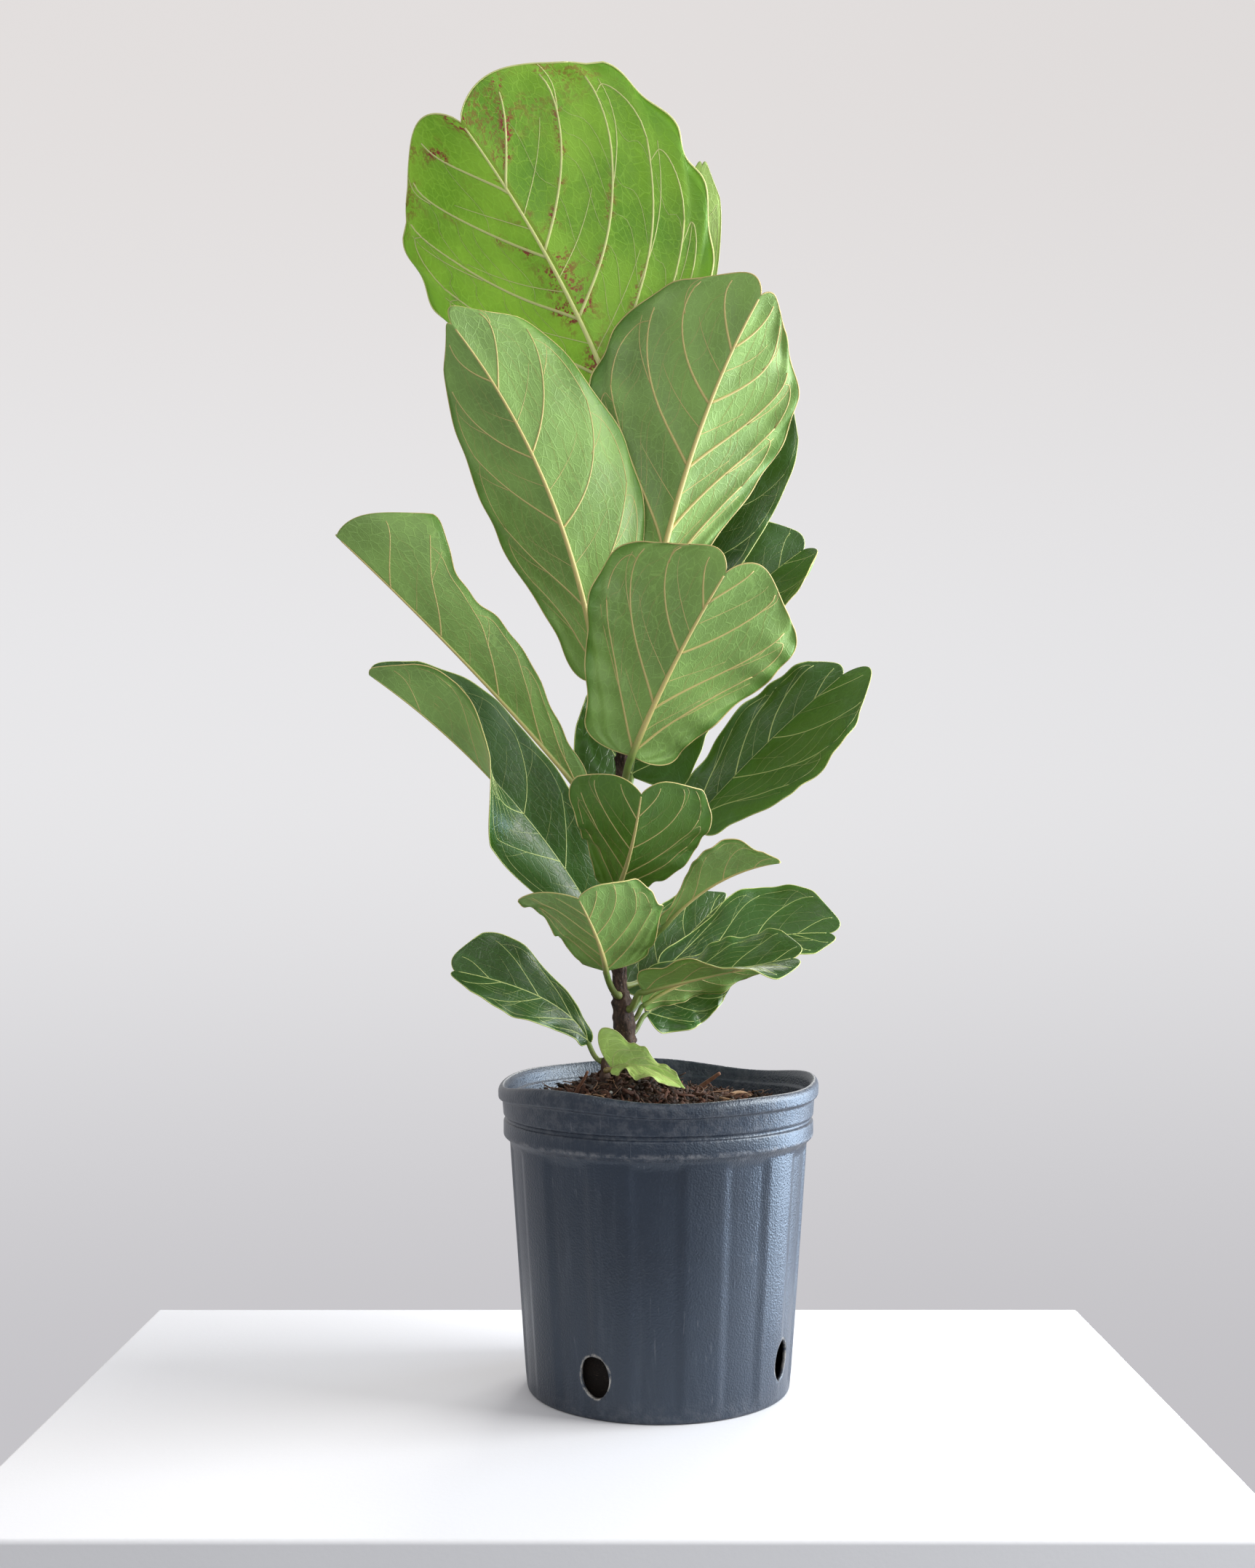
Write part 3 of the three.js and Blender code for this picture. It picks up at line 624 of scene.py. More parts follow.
    def sample(self, side, t, u):
        """Points and upper normals at places on one half."""
        row = np.clip(np.asarray(t, float) / (1 - CORNER_TRIM * u**4), 0, 1) * (len(self.t) - 1)
        column = np.clip(np.asarray(u, float), 0, 1) * (len(self.u) - 1)
        r = np.minimum(row.astype(int), len(self.t) - 2)
        c = np.minimum(column.astype(int), len(self.u) - 2)
        a, b = (row - r)[..., None], (column - c)[..., None]
        results = []
        for grid in (self.points[side], self.normals[side]):
            near = grid[r, c] * (1 - b) + grid[r, c + 1] * b
            far = grid[r + 1, c] * (1 - b) + grid[r + 1, c + 1] * b
            results.append(near * (1 - a) + far * a)
        return results[0], unit(results[1])

    def add_blade(self, shape):
        """The upper and lower faces, closed round the margin."""
        points, normals, flat, veins = [], [], [], []
        for side, columns in ((-1, slice(None, 0, -1)), (1, slice(None))):
            t, u = self.places[:, columns], self.u[columns][None] + 0 * self.t[:, None]
            points.append(self.points[side][:, columns])
            normals.append(self.normals[side][:, columns])
            across = side * u * self.widths[side][:, columns]
            flat.append(np.stack([across * MM, t * self.length * MM, np.full_like(t, side)], axis=-1))
            veins.append(np.stack([self.phase(side, t, u), u, t], axis=-1))
        grids = (points, normals, flat, veins)
        points, normals, flat, veins = (np.concatenate(grid, axis=1) for grid in grids)
        rows, columns = points.shape[:2]
        thin = 1 - 0.5 * smooth(0.85, 1, veins[..., 1])
        offset = normals * (BLADE_THICKNESS / 2 * thin)[..., None]
        faces = grid_faces(rows, columns)
        shape.add(points + offset, faces, UPPER, flat, veins)
        upper = shape.count - rows * columns
        shape.add(points - offset, [face[::-1] for face in faces], UNDER, flat, veins)
        edge = list(range(columns))
        edge += [r * columns + columns - 1 for r in range(1, rows)]
        edge += [(rows - 1) * columns + c for c in range(columns - 2, -1, -1)]
        edge += [r * columns for r in range(rows - 2, 0, -1)]
        lower = rows * columns
        for a, b in zip(edge, edge[1:] + edge[:1]):
            shape.faces.append((upper + b, upper + a, upper + lower + a, upper + lower + b))
            shape.finish.append(VEIN)

    def add_vein(self, shape, side, t, u, ends, sides=5, power=1.0):
        """A vein that stands out of both faces and tapers between the radii of its ends."""
        points, normals = self.sample(side, t, u)
        share = np.linspace(0, 1, len(points))
        thick, thin = self.size * ends[0], self.size * ends[1]
        radii = thick + (thin - thick) * share**power
        top = BLADE_THICKNESS / 2 + 0.1 + 0.25 * radii
        bottom = BLADE_THICKNESS / 2 + 0.75 * radii
        centre = points + normals * ((top - bottom) / 2)[:, None]
        ring, faces, facing = tube(centre, radii, sides, up=normals, flatten=(top + bottom) / 2 / radii)
        reach = np.repeat(np.linalg.norm(points - self.ribs[0, 0], axis=1), sides)
        veins = np.stack([facing, np.repeat(share, sides), np.repeat(radii, sides)], axis=-1)
        flat = np.stack([np.zeros_like(reach), reach * MM, facing], axis=-1)
        shape.add(ring, faces, VEIN, flat, veins)

    def add_laterals(self, shape):
        """Side veins, their forks, the loops that join them and the short veins between them."""
        for side in (-1, 1):
            places = self.laterals[side]
            count = len(places)
            for i, place in enumerate(places):
                wave = self.random.uniform(-0.012, 0.012)
                u = np.linspace(0, LOOP_PLACE, 26)
                t = place + self.climb(u) + wave * np.sin(math.pi * u / LOOP_PLACE)
                keep = t < 0.97 * (1 - CORNER_TRIM * u**4)
                if keep.sum() < 5:
                    continue
                ends = ((SIDE_VEIN[0] - 0.4 * i / count) * 1.1, SIDE_VEIN[1])
                self.add_vein(shape, side, t[keep], u[keep], ends, sides=6, power=0.8)
                self.add_loop(shape, side, i, places, t[keep][-1], u[keep][-1])
                self.add_fork(shape, side, i, places, place)

    def add_loop(self, shape, side, i, places, t_end, u_end):
        """The bow that runs from a side vein up to the next one, inside the margin."""
        places = np.append(places, min(1.02, places[-1] + 0.12))
        s = np.linspace(0, 1, 16)
        base = places[i] + (places[i + 1] - places[i]) * s
        u = u_end + 0.085 * np.sin(math.pi * s**0.8) + (LOOP_PLACE - 0.05 - u_end) * s
        t = base + self.climb(u)
        t = t + (t_end - t[0]) * (1 - s)
        keep = t < 0.965 * (1 - CORNER_TRIM * u**4)
        if keep.sum() > 4:
            self.add_vein(shape, side, t[keep], u[keep], LOOP_VEIN)

    def add_fork(self, shape, side, i, places, place):
        """A branch on the lower side of a vein, and short veins between two."""
        start = self.random.uniform(0.42, 0.58)
        s = np.linspace(0, 1, 12)
        spacing = np.mean(np.diff(places))
        u = start + (LOOP_PLACE + 0.06 - start) * s
        t = place + self.climb(u) - spacing * 0.42 * s**1.2
        if t[0] < 0.93 and t.min() > 0.02:
            self.add_vein(shape, side, t, u, FORK_VEIN)
        if i + 1 == len(places):
            return
        gap = places[i + 1] - place
        u = np.linspace(0, self.random.uniform(0.4, 0.6), 14)
        t = place + gap * self.random.uniform(0.42, 0.6) + self.climb(u) * 0.8
        if t.max() < 0.95:
            self.add_vein(shape, side, t, u, SHORT_VEIN)
        for rung in np.arange(0.24, 0.8, 0.13) + self.random.uniform(-0.04, 0.04, 5):
            s = np.linspace(0.02, 0.98, 9)
            u = rung + 0.03 * np.sin(FULL_TURN * s + rung * 9)
            t = place + gap * s + self.climb(u)
            if t.max() < 0.92:
                self.add_vein(shape, side, t, u, RUNG_VEIN, sides=4)

    def add_margin(self, shape):
        """The thin rolled edge all round the blade."""
        up_side, inwards = np.linspace(0, 1, 110), np.linspace(1, 0, 24)
        path, normals = [], []
        for side, t, u in (
            (-1, up_side, np.ones(110)), (-1, np.ones(24), inwards),
            (1, np.ones(24), inwards[::-1]), (1, up_side[::-1], np.ones(110)),
        ):
            points, looks = self.sample(side, t * (1 - CORNER_TRIM * u**4), u)
            path.append(points[1:] if path else points)
            normals.append(looks[1:] if normals else looks)
        path, normals = np.concatenate(path), np.concatenate(normals)
        radius = MARGIN_RADIUS * max(0.7, self.size)
        ring, faces, facing = tube(path, radius, 6, up=normals)
        veins = np.stack([facing, np.ones_like(facing), np.full_like(facing, 0.2)], axis=-1)
        shape.add(ring, faces, VEIN, None, veins)

    def add_petiole(self, shape):
        """The stalk from the stem, which runs on under the blade as its midrib."""
        plan, foot, tangent = self.plan, self.ribs[0, 0], self.tangents[0, 0]
        stem, radius = stalk_root(plan)
        outward = foot - stem
        outward[2] = 0
        outward = unit(outward)
        start = stem + outward * (radius - 1.2)
        pull = 0.35 * np.linalg.norm(foot - start)
        curve = (start, start + outward * pull, foot - tangent * pull, foot)
        stalk = bezier(curve, np.linspace(0, 1, 22))[:-1]
        t = np.linspace(0, 0.985, 70)
        rib, normals = self.sample(1, t, np.zeros_like(t))
        path = np.concatenate([stalk, rib])
        share = np.concatenate([np.linspace(-1, 0, len(stalk), endpoint=False), t])
        slim = 0.66 + 0.5 * self.size if self.widest > 32 else 0.75
        base = PETIOLE_RADIUS * slim
        radii = np.where(share < 0, base, base * (1 - 0.75 * np.clip(share, 0, 1) ** 0.7))
        radii = radii * (1 + 0.35 * (1 - smooth(-1, -0.8, share)))
        up = np.concatenate([np.repeat(normals[:1], len(stalk), axis=0), normals])
        height = 1 - 0.15 * smooth(0, 0.1, share)
        sink = smooth(-0.15, 0.06, share) * (BLADE_THICKNESS / 2 + 0.15 - radii * height)
        ring, faces, facing = tube(path + up * sink[:, None], radii, 12, up=up, flatten=height)
        distance = np.repeat(share * self.length * MM, 12)
        flat = np.stack([np.full_like(distance, 1.0), distance, facing], axis=-1)
        veins = np.stack([facing, np.repeat(np.clip(share, 0, 1), 12), np.repeat(radii, 12)], axis=-1)
        shape.add(ring, faces, VEIN, flat, veins)


def stalk_root(plan):
    """The middle and radius of the stem where a leaf joins it."""
    if plan["on_shoot"]:
        return np.array([*SHOOT_PLACE, plan["joins"]], float), SHOOT_RADIUS + 0.1
    return stem_centre(plan["joins"]), float(stem_radius(plan["joins"]))


def grow_leaf(plan, finishes):
    """One leaf with its blade, veins, margin and petiole."""
    blade = Blade(plan)
    shape = Shape()
    blade.add_blade(shape)
    blade.add_laterals(shape)
    blade.add_margin(shape)
    blade.add_petiole(shape)
    return shape.build(plan["name"].replace("leaf", "grown_leaf"), finishes)


# ---------------------------------------------------------------- finishes
def darker(colour, share):
    """A colour with less light in it."""
    return tuple(part * share for part in colour)


def vein_pattern(f):
    """What the blade's own coordinates say: its places, halo by the veins and fine network."""
    flat, veins = f.attribute("flat"), f.attribute("veins")
    phase, across, reach = f.parts(veins)
    beside = f.math("ABSOLUTE", f.math("FRACT", phase + 0.5) - 0.5)
    ladder = f.cells(f.scaled(flat, (190, 120, 1)), 1.0, "DISTANCE_TO_EDGE")
    net = f.cells(flat, 330.0, "DISTANCE_TO_EDGE")
    return {
        "flat": flat, "across": across, "reach": reach, "beside": beside,
        "halo": f.step(beside, 0.0, 0.17, 1.0, 0.0),
        "rib": f.step(across, 0.0, 0.14, 1.0, 0.0),
        "margin": f.step(across, 0.86, 1.0),
        "ladder": f.step(ladder, 0.0, 0.075, 1.0, 0.0),
        "net": f.step(net, 0.0, 0.12, 1.0, 0.0),
        "clouds": f.step(f.noise(flat, 17.0, 3.0, 0.55), 0.3, 0.7),
        "grain": f.noise(flat, 900.0, 2.0, 0.6),
    }


def leaf_underside(name, dark, pale, edge, glow, share, blemish=0.0):
    """The matt, netted lower side of a blade."""
    f = Finish(name)
    p = vein_pattern(f)
    colour = f.mix(p["clouds"], dark, pale)
    paler = tuple(min(1.0, c * 1.3 + 0.012) for c in pale)
    colour = f.mix(p["ladder"] * 0.38 + p["net"] * 0.16, colour, paler)
    colour = f.mix(p["halo"] * 0.22 + p["rib"] * 0.2, colour, paler)
    colour = f.mix(p["margin"] * 0.75, colour, edge)
    if blemish:
        rust = rust_specks(f, p, blemish)
        colour = f.mix(rust, colour, (0.27, 0.03, 0.012))
        share = (1 - rust) * share
    height = p["ladder"] * 0.6 + p["net"] * 0.3 + p["grain"] * 0.25
    return f.surface(
        glow, share, Base_Color=colour, Roughness=0.44 + p["clouds"] * 0.14,
        Specular_IOR_Level=0.62, Normal=f.bump(height, 0.4, 0.0005),
    )


def rust_specks(f, p, amount):
    """Reddish brown specks gathered by the midrib and the side veins."""
    dots = f.cells(p["flat"], 420.0)
    fine = f.noise(p["flat"], 150.0, 4.0, 0.75)
    patches = f.noise(p["flat"], 30.0, 2.0, 0.5)
    by_rib = f.step(p["across"], 0.02, 0.24, 1.0, 0.0) * f.step(p["reach"], 0.8, 0.95, 1.0, 0.0)
    by_vein = f.step(p["beside"], 0.02, 0.17, 1.0, 0.0) * f.step(p["across"], 0.45, 0.7, 1.0, 0.0)
    crest = f.step(p["reach"], 0.8, 0.95) * 0.6
    place = f.step(patches, 0.43, 0.56) * (by_rib + by_vein * 0.8 + crest)
    specks = f.step(fine, 0.46, 0.52) * f.step(dots, 0.5, 0.75, 1.0, 0.0)
    return f.math("MULTIPLY", specks, place * amount, clamp=True)


def leaf_upper_side(name, dark, pale, edge, glow, share):
    """The glossy dark upper side of a blade."""
    f = Finish(name)
    p = vein_pattern(f)
    colour = f.mix(p["clouds"], dark, pale)
    paler = tuple(min(1.0, c * 1.5 + 0.015) for c in pale)
    colour = f.mix(p["ladder"] * 0.3 + p["net"] * 0.1, colour, paler)
    colour = f.mix(p["halo"] * 0.35 + p["rib"] * 0.25, colour, paler)
    colour = f.mix(p["margin"] * 0.5, colour, edge)
    dust = f.step(f.noise(p["flat"], 60.0, 4.0, 0.65), 0.52, 0.8)
    colour = f.mix(dust * 0.06, colour, (0.5, 0.53, 0.5))
    height = p["ladder"] * -0.7 + p["net"] * -0.3 + p["grain"] * 0.12
    return f.surface(
        glow, share, Base_Color=colour, Roughness=0.3 + p["clouds"] * 0.12 + dust * 0.15,
        Specular_IOR_Level=0.5, Normal=f.bump(height, 0.4, 0.0004),
    )


def leaf_vein(name, under, upper, stalk, glow=(0.5, 0.6, 0.12), share=0.12):
    """Veins, the rolled margin and the petiole: tan below, yellow green above."""
    f = Finish(name)
    facing = f.parts(f.attribute("veins"))[0]
    is_stalk, distance, _ = f.parts(f.attribute("flat"))
    colour = f.mix(f.step(facing, -0.1, 0.5), under, upper)
    streaks = f.noise(f.scaled(f.here, (260, 260, 60)), 1.0, 3.0, 0.6)
    colour = f.mix(streaks * 0.25, colour, darker(under, 0.6))
    colour = f.mix(f.step(distance, 0.03, -0.005) * is_stalk, colour, stalk)
    corky = f.step(distance * -1, 0.02, 0.05) * is_stalk * streaks * 0.7
    colour = f.mix(corky, colour, (0.11, 0.06, 0.025))
    return f.surface(
        glow, share, Base_Color=colour, Roughness=0.42 + streaks * 0.15,
        Normal=f.bump(streaks, 0.3, 0.0003),
    )


def moulded_plastic():
    """Black plastic with a leathery grain, scuffs, and pale dust on its ledges and round its holes."""
    f = Finish("nursery can plastic")
    x, y, z = f.parts(f.here)
    leather = f.cells(f.here, 820.0, "SMOOTH_F1")
    creases = f.noise(f.here, 480.0, 4.0, 0.65)
    clouds = f.noise(f.here, 11.0, 4.0, 0.6)
    drips = f.noise(f.scaled(f.here, (90, 90, 7)), 1.0, 5.0, 0.7)
    scratches = f.noise(f.scaled(f.here, (520, 520, 26)), 1.0, 2.0, 0.5, 0.6)
    speckle = f.noise(f.here, 160.0, 5.0, 0.75)
    colour = f.mix(clouds, (0.012, 0.014, 0.021), (0.016, 0.025, 0.045))
    colour = f.mix(f.step(drips, 0.5, 0.8) * 0.3, colour, (0.07, 0.08, 0.1))
    above = z - LOWER_BAND_BOTTOM * MM
    under_band = f.step(above, -0.006, -0.002) * f.step(above, 0.0, 0.003, 1.0, 0.0)
    under_band = under_band * f.step(drips, 0.42, 0.6)
    ledge = f.step(above, -0.002, 0.0005) * f.step(above, 0.0005, 0.0035, 1.0, 0.0)
    foot = f.step(z, 0.0, 0.02, 1.0, 0.0)
    bands = f.step(above, 0.004, 0.012) * 0.16
    dust = f.math("MAXIMUM", ledge * 0.5, f.math("MAXIMUM", under_band * 0.4, foot * 0.14 + bands))
    dust = dust * f.step(speckle, 0.4, 0.68)
    colour = f.mix(dust, colour, (0.24, 0.24, 0.25))
    scuffs = f.step(scratches, 0.66, 0.74) * f.step(clouds, 0.45, 0.65)
    colour = f.mix(scuffs * 0.22, colour, (0.25, 0.26, 0.28))
    rims = hole_rims(f, x, y, z) * f.step(speckle, 0.38, 0.62)
    colour = f.mix(rims, colour, (0.3, 0.285, 0.26))
    height = leather * 0.6 + creases * 0.35 + f.step(drips, 0.4, 0.7) * 0.2
    return f.surface(
        Base_Color=colour, Roughness=0.27 + clouds * 0.16 + dust * 0.4 + creases * 0.06,
        Specular_IOR_Level=0.65, Specular_Tint=(0.78, 0.9, 1.0), Normal=f.bump(height, 0.5, 0.0009),
    )


def hole_rims(f, x, y, z):
    """A thin scuffed ring round each drain hole."""
    spacing = FULL_TURN / DRAIN_COUNT
    turn = f.math("ARCTAN2", y, x) - math.radians(DRAIN_TURN)
    turn = f.math("FRACT", turn / spacing + 0.5) - 0.5
    sideways = turn * (spacing * body_radius(DRAIN_LIFT)) / (DRAIN_WIDTH / 2)
    upright = (z - DRAIN_LIFT * MM) / (DRAIN_HEIGHT / 2 * MM)
    distance = f.math("SQRT", sideways**2 + upright**2)
    wavering = distance + (f.noise(f.here, 130.0, 3.0, 0.6) - 0.5) * 0.3
    return f.step(distance, 0.96, 1.0) * f.step(wavering, 1.03, 1.12, 1.0, 0.0)


def fibrous_mix():
    """Bark and peat, with painted shade low down: near black where it shows through the drain holes."""
    f = Finish("potting mix")
    crumbs = f.noise(f.here, 260.0, 6.0, 0.75)
    patches = f.noise(f.here, 45.0, 3.0, 0.6)
    colour = f.mix(crumbs, (0.004, 0.003, 0.0025), (0.05, 0.028, 0.016))
    colour = f.mix(f.step(patches, 0.5, 0.7) * 0.5, colour, (0.085, 0.045, 0.024))
    strands = f.noise(f.scaled(f.here, (160, 160, 420)), 1.0, 4.0, 0.7, 2.5)
    height = f.parts(f.here)[2]
    low = f.step(height, HOLLOW_TOP * MM, (HOLLOW_TOP + 30) * MM, 1.0, 0.0)
    # painted shade: below the hollow the mix is made near black, where it shows through the drain holes
    colour = f.mix(low * 0.85, colour, (0.003, 0.0025, 0.0025))
    colour = f.mix(low * f.step(strands, 0.6, 0.68) * 0.5, colour, (0.09, 0.06, 0.04))
    return f.surface(
        Base_Color=colour, Roughness=0.85 + crumbs * 0.1, Specular_IOR_Level=0.3,
        Normal=f.bump(crumbs, 0.9, 0.0015),
    )


def woody(name, dark, pale, rough=0.8):
    """Chips, twigs and roots; each loose piece has its own shade."""
    f = Finish(name)
    shade = f.parts(f.attribute("shade"))[0]
    grain = f.noise(f.scaled(f.here, (400, 400, 400)), 1.0, 4.0, 0.7)
    colour = f.mix(shade, dark, pale)
    colour = f.mix(grain * 0.5, colour, darker(dark, 0.35))
    return f.surface(
        Base_Color=colour, Roughness=rough, Specular_IOR_Level=0.3, Normal=f.bump(grain, 0.7, 0.0008)
    )


def fissured_bark():
    """Dark brown bark, cracked along the stem, with grey weathering."""
    f = Finish("stem bark")
    cracks = f.noise(f.scaled(f.here, (300, 300, 90)), 1.0, 6.0, 0.75, 0.4)
    patches = f.noise(f.here, 70.0, 3.0, 0.6)
    spots = f.cells(f.scaled(f.here, (420, 420, 260)), 1.0)
    colour = f.mix(f.step(cracks, 0.3, 0.7), (0.008, 0.005, 0.004), (0.075, 0.042, 0.028))
    colour = f.mix(f.step(patches, 0.5, 0.7) * 0.25, colour, (0.15, 0.11, 0.085))
    colour = f.mix(f.step(spots, 0.16, 0.26, 1.0, 0.0) * 0.4, colour, (0.17, 0.11, 0.075))
    return f.surface(
        Base_Color=colour, Roughness=0.72 + cracks * 0.2, Specular_IOR_Level=0.35,
        Normal=f.bump(cracks, 0.9, 0.0014),
    )


def plain(name, colour, roughness):
    """A quiet, faintly mottled finish for the stage."""
    f = Finish(name)
    mottle = f.noise(f.here, 6.0, 3.0, 0.5)
    paint = f.noise(f.here, 240.0, 3.0, 0.6)
    shade = f.mix(mottle, darker(colour, 0.975), colour)
    return f.surface(Base_Color=shade, Roughness=roughness, Normal=f.bump(paint, 0.15, 0.0006))


KINDS = {
    "leaf_crown": "crown", "leaf_young": "young", "leaf_sprout": "young",
    "leaf_front": "shaded", "leaf_low_back": "shaded", "leaf_low_back_right": "shaded",
}


LEAF_GLOW = (0.6, 0.82, 0.22)  # light that comes through the blade
CROWN_GLOW = (0.57, 0.84, 0.1)
YOUNG_GLOW = (0.75, 0.88, 0.35)
UPPER_EDGE = (0.05, 0.15, 0.012)  # rolled margins, seen from above
VEIN_ABOVE = (0.5, 0.6, 0.2)


def leaf_finishes(settings):
    """The lower, upper and vein finishes of each kind of leaf."""
    under, upper, vein = (tuple(c) for c in (settings.underside, settings.upper_side, settings.vein))
    dark_under, dark_upper = darker(under, 0.68), darker(upper, 0.6)
    veins = leaf_vein("leaf veins", vein, VEIN_ABOVE, (0.16, 0.24, 0.05))
    return {
        "mature": (
            leaf_underside("leaf underside", dark_under, under, (0.07, 0.22, 0.012), LEAF_GLOW, 0.26),
            leaf_upper_side("leaf upper side", dark_upper, upper, UPPER_EDGE, LEAF_GLOW, 0.13),
            veins,
        ),
        "shaded": (
            leaf_underside("shaded leaf underside", (0.05, 0.14, 0.012), (0.1, 0.22, 0.025),
                           (0.06, 0.18, 0.012), LEAF_GLOW, 0.3),
            leaf_upper_side("shaded leaf upper side", dark_upper, upper, UPPER_EDGE, LEAF_GLOW, 0.13),
            veins,
        ),
        "crown": (
            leaf_underside("crown leaf underside", (0.07, 0.22, 0.006), (0.26, 0.48, 0.045),
                           (0.08, 0.26, 0.01), CROWN_GLOW, 0.28, 1.0),
            leaf_upper_side("crown leaf upper side", (0.06, 0.16, 0.012), (0.09, 0.22, 0.02),
                            (0.1, 0.26, 0.01), (0.64, 0.86, 0.14), 0.36),
            leaf_vein("crown leaf veins", (0.74, 0.78, 0.32), VEIN_ABOVE, (0.2, 0.17, 0.05),
                      (0.95, 0.97, 0.4), 0.2),
        ),
        "young": (
            leaf_underside("young leaf underside", (0.36, 0.52, 0.16), (0.5, 0.66, 0.26),
                           (0.3, 0.5, 0.06), YOUNG_GLOW, 0.35),
            leaf_upper_side("young leaf upper side", (0.24, 0.4, 0.08), (0.4, 0.56, 0.16),
                            (0.25, 0.42, 0.06), YOUNG_GLOW, 0.3),
            leaf_vein("young leaf veins", (0.45, 0.48, 0.18), (0.45, 0.52, 0.18), (0.3, 0.24, 0.09)),
        ),
    }


# ---------------------------------------------------------------- pot
BASE_RADIUS = 93.5
BODY_TOP_RADIUS = 106.3
WALL = 2.4
FLOOR = 3.0
LIP_HEIGHT = 11.0
LIP_OVERHANG = 3.0
UPPER_BAND_HEIGHT = 13.5
GROOVE_HEIGHT = 2.5
GROOVE_DEPTH = 1.8
LOWER_BAND_HEIGHT = 11.0
BAND_STEP = 4.2
PANEL_COUNT = 20
PANEL_DEPTH = 1.6
RIM_WARP = 2.2
DRAIN_COUNT = 4
DRAIN_WIDTH = 23.0
DRAIN_HEIGHT = 28.0
DRAIN_LIFT = 29.0  # height of a drain hole's middle
DRAIN_TURN = -117.6  # degrees round to the first hole
LIP_BOTTOM = POT_HEIGHT - LIP_HEIGHT
UPPER_BAND_BOTTOM = LIP_BOTTOM - UPPER_BAND_HEIGHT
GROOVE_BOTTOM = UPPER_BAND_BOTTOM - GROOVE_HEIGHT
LOWER_BAND_BOTTOM = GROOVE_BOTTOM - LOWER_BAND_HEIGHT
BAND_RADIUS = BODY_TOP_RADIUS + BAND_STEP
MOUTH_RADIUS = RIM_RADIUS - LIP_OVERHANG - WALL


def body_radius(height):
    """Outside of the tapered wall."""
    return BASE_RADIUS + (BODY_TOP_RADIUS - BASE_RADIUS) * height / LOWER_BAND_BOTTOM


def inner_radius(height):
    """Inside of the wall."""
    throat = BODY_TOP_RADIUS - PANEL_DEPTH - WALL
    if height < LOWER_BAND_BOTTOM:
        return body_radius(height) - PANEL_DEPTH - WALL
    rise = (height - LOWER_BAND_BOTTOM) / (POT_HEIGHT - LOWER_BAND_BOTTOM)
    return throat + (MOUTH_RADIUS - throat) * rise


def rounded(corners):
    """A profile of (radius, height, roundness) corners, with each corner turned into an arc."""
    places = [np.array(corner[:2], float) for corner in corners]
    points = [places[0]]
    for before, here, after, corner in zip(places, places[1:], places[2:], corners[1:]):
        reach = corner[2]
        start = here + (before - here) * min(0.5, reach / np.linalg.norm(before - here))
        end = here + (after - here) * min(0.5, reach / np.linalg.norm(after - here))
        points += list(bezier((start, here, end), np.linspace(0, 1, 5)))
    points.append(places[-1])
    return points


def pot_profile():
    """The can's outline from the middle of its base, up outside and down inside."""
    band_top = UPPER_BAND_BOTTOM + 1
    return rounded((
        (0, 0, 0),
        (BASE_RADIUS - 0.6, 0, 2.4),
        (body_radius(12), 12, 2),
        (body_radius(LOWER_BAND_BOTTOM - 12), LOWER_BAND_BOTTOM - 12, 2),
        (BODY_TOP_RADIUS - 0.4, LOWER_BAND_BOTTOM - BAND_STEP, 2.2),
        (BAND_RADIUS, LOWER_BAND_BOTTOM, 1.4),
        (BAND_RADIUS, GROOVE_BOTTOM - 0.6, 1.1),
        (BAND_RADIUS - GROOVE_DEPTH, GROOVE_BOTTOM + 0.4, 0.7),
        (BAND_RADIUS - GROOVE_DEPTH, UPPER_BAND_BOTTOM - 0.4, 0.7),
        (BAND_RADIUS + 0.1, band_top, 1.1),
        (RIM_RADIUS - LIP_OVERHANG, LIP_BOTTOM - 0.5, 1.4),
        (RIM_RADIUS - 0.2, LIP_BOTTOM + 0.6, 1.6),
        (RIM_RADIUS, POT_HEIGHT - 3, 2.2),
        (RIM_RADIUS - 2.2, POT_HEIGHT, 1.6),
        (MOUTH_RADIUS + 1.2, POT_HEIGHT - 0.3, 1.2),
        (inner_radius(POT_HEIGHT - 4), POT_HEIGHT - 4, 1.6),
        (inner_radius(LIP_BOTTOM + 1), LIP_BOTTOM + 1, 0.8),
        (inner_radius(LIP_BOTTOM) - 1.1, LIP_BOTTOM - 0.4, 0.8),
        (inner_radius(UPPER_BAND_BOTTOM + 2) - 0.4, UPPER_BAND_BOTTOM + 2, 1),
        (inner_radius(UPPER_BAND_BOTTOM) - 1.3, UPPER_BAND_BOTTOM, 0.8),
        (inner_radius(LOWER_BAND_BOTTOM), LOWER_BAND_BOTTOM, 2),
        (inner_radius(FLOOR + 2), FLOOR + 2, 3),
        (inner_radius(FLOOR) - 4, FLOOR, 2),
        (0, FLOOR, 0),
    ))


